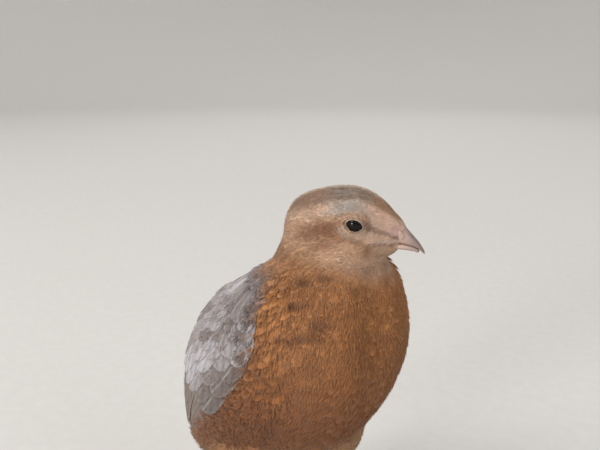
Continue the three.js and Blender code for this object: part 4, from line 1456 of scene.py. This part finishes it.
def on_wing(side, vane, s, a, h):
    """Places on a wing vane: s along it, a across it, h through its thickness."""
    u = np.clip(vane["start"] + vane["reach"] * s, 0, 1)
    t = mix(WING["front"], WING["rear"], u)
    sides = through(TRUNK[:, 2:], t)
    girth = (sides[:, 0] * 2 + sides[:, 1] + sides[:, 2]) / 4
    middle = mix(through(WING["upper"], u)[:, 0], through(WING["lower"], u)[:, 0], vane["strip"])
    turn = np.radians(middle) + a * vane["half"] / girth
    low, high = vane["rise"]
    rise = low + (high - low) * s + 0.35 * a - 0.4 * a * a + 0.32 * h
    rise = rise + 0.14 * np.exp(-((a / 0.1) ** 2)) * (1 - s)
    return trunk_point(t, side * turn, WING["thick"] + rise)


def fringe_of(name, place, vanes, side, seed, each, long, width):
    """Loose barbs along the edges and tip of large vanes."""
    dice = np.random.default_rng(seed)
    feet, ways, colours = [], [], []
    for vane in vanes:
        s = dice.uniform(0.45, 1.0, each)
        edge = np.interp(s, [0.45, 0.65, 0.88, 0.985, 1.0], [1, 0.99, 0.74, 0.28, 0.05])
        on_edge = dice.random(each) < 0.65
        a = edge * np.where(on_edge, np.sign(dice.normal(size=each)), dice.uniform(-1, 1, each))
        foot = place(side, vane, s - 0.03, a * 0.94, np.full(each, 0.4))
        feet.append(foot)
        ways.append(unit(foot - place(side, vane, s - 0.12, a * 0.80, np.full(each, 0.4))))
        tone = dice.normal(1.06, 0.10, (each, 1))
        colours.append(mix(vane["colour"][None], CREAM[None], 0.25 * dice.random(each)) * tone)
    foot, way, colour = (np.concatenate(part) for part in (feet, ways, colours))
    up = np.array([skin_tree.find_nearest(p)[1] for p in foot.tolist()])
    reach = long * dice.uniform(0.6, 1.3, len(foot))
    unit_s, _, unit_h = BARB["spots"].T
    bow = 0.05 + width * unit_h + 0.06 * reach[:, None] * unit_s
    spots = spindles(foot, way, unit(np.cross(up, way)), up, reach, np.full(len(foot), width), bow)
    colours = np.repeat(colour[:, None], len(unit_s), 1)
    cells, patch = atlas(len(foot))
    piece = joined_mesh(name, BARB, spots, cells, colours, np.zeros_like(colours), patch)
    piece.data.materials.append(coat_soft)
    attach(piece, "root")
    print(name, len(foot), "barbs")


def atlas(count):
    """Places of the vanes' patches in rows on a square map, and the size of a patch."""
    cells = math.ceil(math.sqrt(count))
    column, row = np.arange(count) % cells, np.arange(count) // cells
    return np.stack([(column + 0.5) / cells, (row + 0.5) / cells], 1), 0.92 / cells


def large_mesh(name, place, vanes, side):
    """One mesh of all large vanes of a wing or the tail."""
    s, a, h = QUILL["spots"].T
    spots = np.array([place(side, vane, s, a, h) for vane in vanes])
    shade = np.clip(1.2 * s - 0.1, 0, 1)[None, :, None]
    base = np.array([vane["colour"] for vane in vanes])[:, None]
    colours = base * (0.92 + 0.14 * shade)
    marks = np.repeat(np.array([vane["marks"] for vane in vanes])[:, None], len(s), 1)
    cells, patch = atlas(len(vanes))
    piece = joined_mesh(name, QUILL, spots, cells, colours, marks, patch)
    piece.data.materials.append(coat_vane)
    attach(piece, "root")
    print(name, len(vanes), "vanes,", len(piece.data.polygons), "faces")
    return piece


WING_FRINGE = {"each": 60, "long": 1.5, "width": 0.07}
vanes = wing_vanes()
for word, side in SIDES.items():
    wing = large_mesh("wing_vanes_" + word, on_wing, vanes, side)
    fringe_of("wing_barbs_" + word, on_wing, vanes, side, 41, **WING_FRINGE)
    if side < 0:
        edited(wing, bpy.ops.mesh.flip_normals)
    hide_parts("wing_" + word)
    core = moulded("wing_down_" + word, 40, 16, wing_core(side))
    faced_outwards(core)
    paint(core, "plumage", np.tile(mix(SILVER, RUMP, 0.5) * 0.75, (len(core.data.vertices), 1)))
    core.data.materials.append(skin_down)
    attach(core, "root")

# %% [markdown]
# ## The tail
# A quail's tail is short and soft. Ten narrow feathers fan out a little from the stump,
# with coverts above and below that hide their quills.

# %% Fan the tail
TAIL_ROWS = {
    # name: pairs, length, shorter by, fan in degrees, step, half width, level, face, gather
    "rectrices": (5, 39, 1.6, 4.2, 0.55, 3.9, -0.6, 1, 0),
    "upper_coverts": (4, 25, 2.0, 6.5, 0.5, 4.2, 1.6, 1, 0.75),
    "upper_short": (4, 16, 1.5, 8.0, 0.5, 4.2, 2.4, 1, 0.75),
    "under_coverts": (3, 23, 2.0, 7.5, 0.5, 4.4, -4.4, -1, 0.2),
    "under_short": (3, 15, 1.5, 9.0, 0.5, 4.6, -5.2, -1, 0.2),
}
tail_vanes = []
dice = np.random.default_rng(50)
for pairs, long, shorter, fan, step_down, half_width, level, face, gather in TAIL_ROWS.values():
    for side in (1, -1):
        for i in range(pairs):
            colour = mix(RUMP, BELLY, 0.35) if face < 0 else mix(RUMP, SILVER, 0.3)
            tail_vanes.append({
                "turn": math.radians(fan * (i + 0.5)) * side,
                "long": long - shorter * i,
                "half": half_width,
                "level": level - face * step_down * (i + (0 if side > 0 else 0.5)),
                "face": face,
                "gather": gather,
                "colour": colour * dice.uniform(0.88, 1.1),
                "marks": [0.35, 0.4, 0.75 if face > 0 else 0.2],
            })


def on_tail(side, vane, s, a, h):
    """Places on a tail feather."""
    turn, face = vane["turn"], vane["face"]
    back, wide = 4 - vane["long"] * s, a * vane["half"]
    x = back * math.cos(turn) + wide * math.sin(turn)
    y = -back * math.sin(turn) + wide * math.cos(turn)
    z = vane["level"] * (1 - vane["gather"] * s) - face * 0.25 * a * a + 0.3 * h
    return tail_point(x, y, z + face * 0.15 * np.exp(-((a / 0.1) ** 2)) * (1 - s))


tail = large_mesh("tail_vanes", on_tail, tail_vanes, 1)
TAIL_FRINGE = {"each": 70, "long": 1.6, "width": 0.07}
fringe_of("tail_barbs", on_tail, tail_vanes, 1, 51, **TAIL_FRINGE)
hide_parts("tail")

# %% [markdown]
# ## Bill
# The CAD bill has the right form but flat facets. A copy of it is merged, remeshed
# with small voxels and smoothed, which rounds the culmen and keeps the nostril. The
# flap over the nostril is pressed flatter and the lower half is slimmed, as on a live
# bird. Its colour is flesh pink at the root, darker along the culmen, pale at the edge,
# with a painted highlight along that edge; the nostril's flap is painted darker as shade.


# %% Smooth horn from the solids
def copy_of(nodes, name):
    """A merged copy of CAD nodes, joined in one piece."""
    copies = []
    for word in nodes:
        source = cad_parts[word]
        twin = source.copy()
        twin.data = source.data.copy()
        twin.parent = None
        twin.modifiers.clear()
        twin.hide_render = twin.hide_viewport = False
        for key in list(twin.keys()):
            del twin[key]
        bpy.context.collection.objects.link(twin)
        copies.append(twin)
    only(*copies)
    if len(copies) > 1:
        bpy.ops.object.join()
    piece = bpy.context.object
    piece.name = name
    piece.data.materials.clear()
    edited(piece, bpy.ops.mesh.remove_doubles, threshold=0.02 * MM)
    return piece


def rounded(piece, voxel, repeat):
    """Remeshes a piece with small voxels and smooths its facets away."""
    applied(piece, "REMESH", mode="VOXEL", voxel_size=voxel * MM)
    smoothed(piece, repeat)
    return piece


BILL_PINK = tint(196, 164, 152)
BILL_DARK = tint(116, 100, 94)
BILL_PALE = tint(222, 204, 188)
BILL_VOXEL, BILL_SWELL = 0.11, 0.12
# the ridge of the bill: x and z on the head
CULMEN = np.array([
    [8.4, 0.4], [12, 0.3], [14.1, -1.6], [16.2, -4.0], [18.2, -6.2], [19.7, -8.4], [20.3, -9.6],
])


def from_nostril(q):
    """How far places on the head are from the nostril, about 1 on the edge of its flap."""
    return np.hypot((q[:, 0] - 11.4) / 2.7, (q[:, 2] + 3.9) / 1.6)


upper = rounded(copy_of(["bill_upper"], "upper_bill"), BILL_VOXEL, 3)
lower = rounded(copy_of(["bill_lower"], "lower_bill"), BILL_VOXEL, 3)
for piece in (upper, lower):
    applied(piece, "DISPLACE", strength=BILL_SWELL * MM, mid_level=0.0)
# the flap over each nostril lies nearly flat
q = head_place(bird_spots(upper))
flap = 1 - step(0.9, 1.5, from_nostril(q))
proud = np.maximum(np.abs(q[:, 1]) - 3.1, 0) * flap
q[:, 1] -= np.sign(q[:, 1]) * 0.88 * proud
set_spots(upper, in_head(q))
# the lower half is closed against the upper one
lower_spots = bird_spots(lower)
q = head_place(lower_spots)
middle = through([-8.1, -8.25, -8.5, -8.95, -9.7], np.clip((q[:, 0] - 8.4) / 10.3, 0, 1))[:, 0]
top = np.interp(q[:, 0], [8.4, 12, 14.6, 17.1, 18.7], [-6.8, -6.9, -7.3, -8.0, -9.3])
lower_spots[:, 2] += 0.34 * step(-0.3, 0.5, q[:, 2] - middle)
lower_spots[:, 2] += 0.36 * np.clip(top - q[:, 2], 0, 3)
set_spots(lower, lower_spots)
for piece, word in ((upper, "bill_upper"), (lower, "bill_lower")):
    q = head_place(bird_spots(piece))
    dark = step(11.5, 17.5, q[:, 0]) * 0.72
    colour = mix(BILL_PINK[None], BILL_DARK[None], dark)
    # painted shade: the flap over the nostril is made darker
    colour = colour * mix(0.80, 1.0, step(0.7, 1.3, from_nostril(q)))[:, None]
    if word == "bill_upper":
        below = q[:, 2] - np.interp(q[:, 0], CULMEN[:, 0], CULMEN[:, 1])
        colour = mix(colour, BILL_DARK[None], step(-1.6, -0.1, below) * step(13, 16, q[:, 0]) * 0.6)
        colour = mix(colour, FOREHEAD[None], step(-2.4, -0.6, below) * step(15.5, 13.5, q[:, 0]) * 0.7)
        # the pale cutting edge of the upper bill, with a painted highlight along it
        edge = band(q[:, 2], -6.9 - 0.035 * (q[:, 0] - 10) ** 2, 0.35, 0.4)
        edge = edge * step(1.2, 2.2, np.abs(q[:, 1]) + 0.25 * (q[:, 0] - 12))
        colour = mix(colour, BILL_PALE[None], edge * 0.7)
    else:
        colour = mix(colour, BILL_PALE[None], 0.25)
    paint(piece, "plumage", colour)
    piece.data.materials.append(horn)
    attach(piece, "root")
    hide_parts(word)
    print(piece.name, len(piece.data.polygons), "faces")

# %% [markdown]
# ## Eyes and lids
# A quail's eye looks black, because the iris is a dark brown. The ball has a slightly
# raised cornea. The lids are a ring that starts as a torus: its points are moved onto
# a shell just outside the eyeball, with a thickened rim round an almond opening.


# %% Eyeballs and lids
LID_RIM = tint(150, 130, 114)
LID_SKIN = tint(182, 152, 128)


def almond(turn, grow=0.0):
    """The opening's edge in the head's measures, as x and z."""
    c, s = math.cos(EYE["tilt"]), math.sin(EYE["tilt"])
    a = (EYE["half"] + grow) * np.cos(turn)
    b = (EYE["height"] + grow) * np.sin(turn) * (1 - 0.10 * np.cos(turn) ** 2)
    return a * c - b * s, a * s + b * c


for word, side in SIDES.items():
    bpy.ops.mesh.primitive_uv_sphere_add(segments=48, ring_count=32, radius=1)
    ball = bpy.context.object
    ball.name = "eyeball_" + word
    ways = mesh_points(ball)
    spots = np.stack([ways[:, 0], ways[:, 2] * side, -ways[:, 1]], 1)
    off = np.arccos(np.clip(spots[:, 1] * side, -1, 1))
    cornea = 0.28 * np.exp(-((off / 0.5) ** 4))
    place = spots * (EYE["radius"] - 0.05 + cornea)[:, None] + [0, side * EYE["y"], 0]
    set_spots(ball, in_head(place))
    iris = ball.data.attributes.new("iris", "FLOAT", "POINT")
    iris.data.foreach_set("value", np.clip(off, 0, 1))
    faced_outwards(ball)
    ball.data.materials.append(eye_wet)
    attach(ball, "root")
    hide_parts("eye_" + word)

    bpy.ops.mesh.primitive_torus_add(major_segments=64, minor_segments=14, major_radius=1, minor_radius=0.25)
    lids = bpy.context.object
    lids.name = "eyelids_" + word
    x, y, z = mesh_points(lids).T
    turn = np.arctan2(y, x)
    inner = np.arctan2(z, np.hypot(x, y) - 1)
    reach = 0.5 + 0.5 * np.cos(inner)
    over = np.sin(inner)
    grow = 0.05 + 1.15 * reach
    px, pz = almond(turn, grow)
    rim = 0.24 * np.exp(-((reach / 0.22) ** 2))
    beads = 0.03 * np.sin(turn * 32) * np.exp(-((reach / 0.16) ** 2))
    shell = EYE["radius"] + 0.22 + 0.18 * over + rim * (over > -0.3) + beads
    depth = np.sqrt(np.maximum(shell**2 - px**2 - pz**2, 0.3))
    outside = np.stack([px, np.full(len(px), side * 16.0), pz], 1)
    inwards = Vector((in_head(np.array([[0, -side, 0]])) - in_head(np.zeros((1, 3))))[0])
    hits = [skin_tree.ray_cast(Vector(o), inwards)[0] for o in in_head(outside)]
    level = np.abs(head_place(np.array(hits))[:, 1]) - 0.12
    out = EYE["y"] + depth
    out = mix(out, np.minimum(out, level), step(0.35, 0.85, reach))
    place = np.stack([px, side * out, pz], 1)
    set_spots(lids, in_head(place))
    faced_outwards(lids)
    applied(lids, "SUBSURF", levels=1, render_levels=1)
    bpy.ops.object.shade_smooth()
    q = head_place(bird_spots(lids))
    ring = np.hypot(q[:, 0], q[:, 2] * 1.25)
    paint(lids, "plumage", mix(LID_RIM[None], LID_SKIN[None], step(2.4, 3.4, ring)))
    lids.data.materials.append(lid_skin)
    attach(lids, "root")
print("eyes and lids set")

# %% [markdown]
# ## Legs and claws
# Shank and toes are one scaly skin on each leg. Copies of the solids are swollen a
# little so that they meet, melted into one, and smoothed. Broad plates, the scutes,
# run down the front of the shank and along the top of each toe. Each swells towards
# its lower edge and drops to the next, so the points of the skin are moved out by a
# saw-tooth along each bone. The claws stay separate.

# %% Scaled legs
LEG_PINK = tint(200, 158, 132)
LEG_PALE = tint(222, 194, 168)
LEG_DARK = tint(146, 108, 86)
CLAW_ROOT = tint(150, 124, 104)
CLAW_TIP = tint(84, 68, 60)
LEG_VOXEL, LEG_SWELL, CLAW_VOXEL = 0.2, 0.16, 0.12
# turn of each toe in degrees, and its length
TOES = {"inner": (-34, 14.5), "middle": (4, 20.5), "outer": (40, 15.5), "hind": (168, 7.5)}


def scutes(spots, normals, side):
    """How far the scutes raise each place on a leg, and how near it is to a plate's edge."""
    hock, foot = LEG[3] * [1, side, 1], LEG[4] * [1, side, 1]
    down = unit(foot - hock)
    along = (spots - hock) @ down
    front = unit(np.array([1.0, 0, 0]) - down * down[0])
    facing = unit(spots - hock - along[:, None] * down) @ front
    share = np.where(facing > 0, along / 2.1 % 1, along / 1.5 % 1)
    plate = np.where(facing > 0, 0.20, 0.10) * step(0.05, 0.35, np.abs(facing))
    flat = spots[:, :2] - foot[:2]
    reach = np.hypot(flat[:, 0], flat[:, 1])
    heading = np.degrees(np.arctan2(flat[:, 1], flat[:, 0])) * side
    nearest = np.full(len(spots), 400.0)
    toe_size = np.zeros(len(spots))
    for turn, long in TOES.values():
        off = np.abs((heading - turn + 180) % 360 - 180)
        toe_size = np.where(off < nearest, 1.15 + 0.02 * long, toe_size)
        nearest = np.minimum(nearest, off)
    on_toe = (reach > 2.4) & (spots[:, 2] < 5.5)
    share = np.where(on_toe, (reach + 0.3) / toe_size % 1, share)
    plate = np.where(on_toe, 0.15 * step(-0.2, 0.4, normals[:, 2]), plate)
    plate = np.where(~on_toe & (spots[:, 2] < 4.5) & (facing < 0.2), 0, plate)
    saw = share**1.6 * (1 - step(0.93, 1.0, share))
    edge = step(0.72, 0.95, share) * plate / 0.2
    grains = 0.03 * mottle(spots, 0.55, 61) * step(0.1, 0.0, plate)
    return plate * saw + grains, edge


for word, side in SIDES.items():
    nodes = ["shank_" + word] + ["toe_" + t + "_" + word for t in TOES]
    leg = copy_of(nodes, "leg_" + word)
    applied(leg, "DISPLACE", strength=LEG_SWELL * MM, mid_level=0.0)
    rounded(leg, LEG_VOXEL, 6)
    spots = bird_spots(leg)
    normals = rows_of(leg.data.vertices, "normal", 3)
    raised, edge = scutes(spots, normals, side)
    spots = spots + normals * raised[:, None]
    spots[:, 2] = np.maximum(spots[:, 2], 0.02)
    set_spots(leg, spots)
    shade = mottle(spots, 3.0, 60)
    colour = mix(LEG_PINK[None], LEG_PALE[None], np.clip(0.35 + 0.35 * shade + 1.6 * raised, 0, 1))
    colour = mix(colour, LEG_DARK[None], edge * 0.55)
    paint(leg, "plumage", colour)
    leg.data.materials.append(scaled)
    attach(leg, "root")
    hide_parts(*nodes)
    claw_nodes = ["claw_" + t + "_" + word for t in TOES]
    claws = rounded(copy_of(claw_nodes, "claws_" + word), CLAW_VOXEL, 4)
    away = np.linalg.norm((bird_spots(claws) - LEG[4] * [1, side, 1])[:, :2], axis=1)
    lengths = np.array([long for _, long in TOES.values()])
    past = np.abs(away[:, None] - lengths - 2.3)
    tip_share = (away - lengths[past.argmin(1)]) / 4.6
    paint(claws, "plumage", mix(CLAW_ROOT[None], CLAW_TIP[None], step(0.0, 0.9, tip_share)))
    claws.data.materials.append(claw_horn)
    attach(claws, "root")
    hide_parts(*claw_nodes)
    print(leg.name, len(leg.data.polygons), "faces,", claws.name, len(claws.data.polygons))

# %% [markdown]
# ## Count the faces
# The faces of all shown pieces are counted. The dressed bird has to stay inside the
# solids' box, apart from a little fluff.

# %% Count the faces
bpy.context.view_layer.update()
faces = sum(len(p.data.polygons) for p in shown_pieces() if p.type == "MESH")
print("its pieces have", faces, "faces")
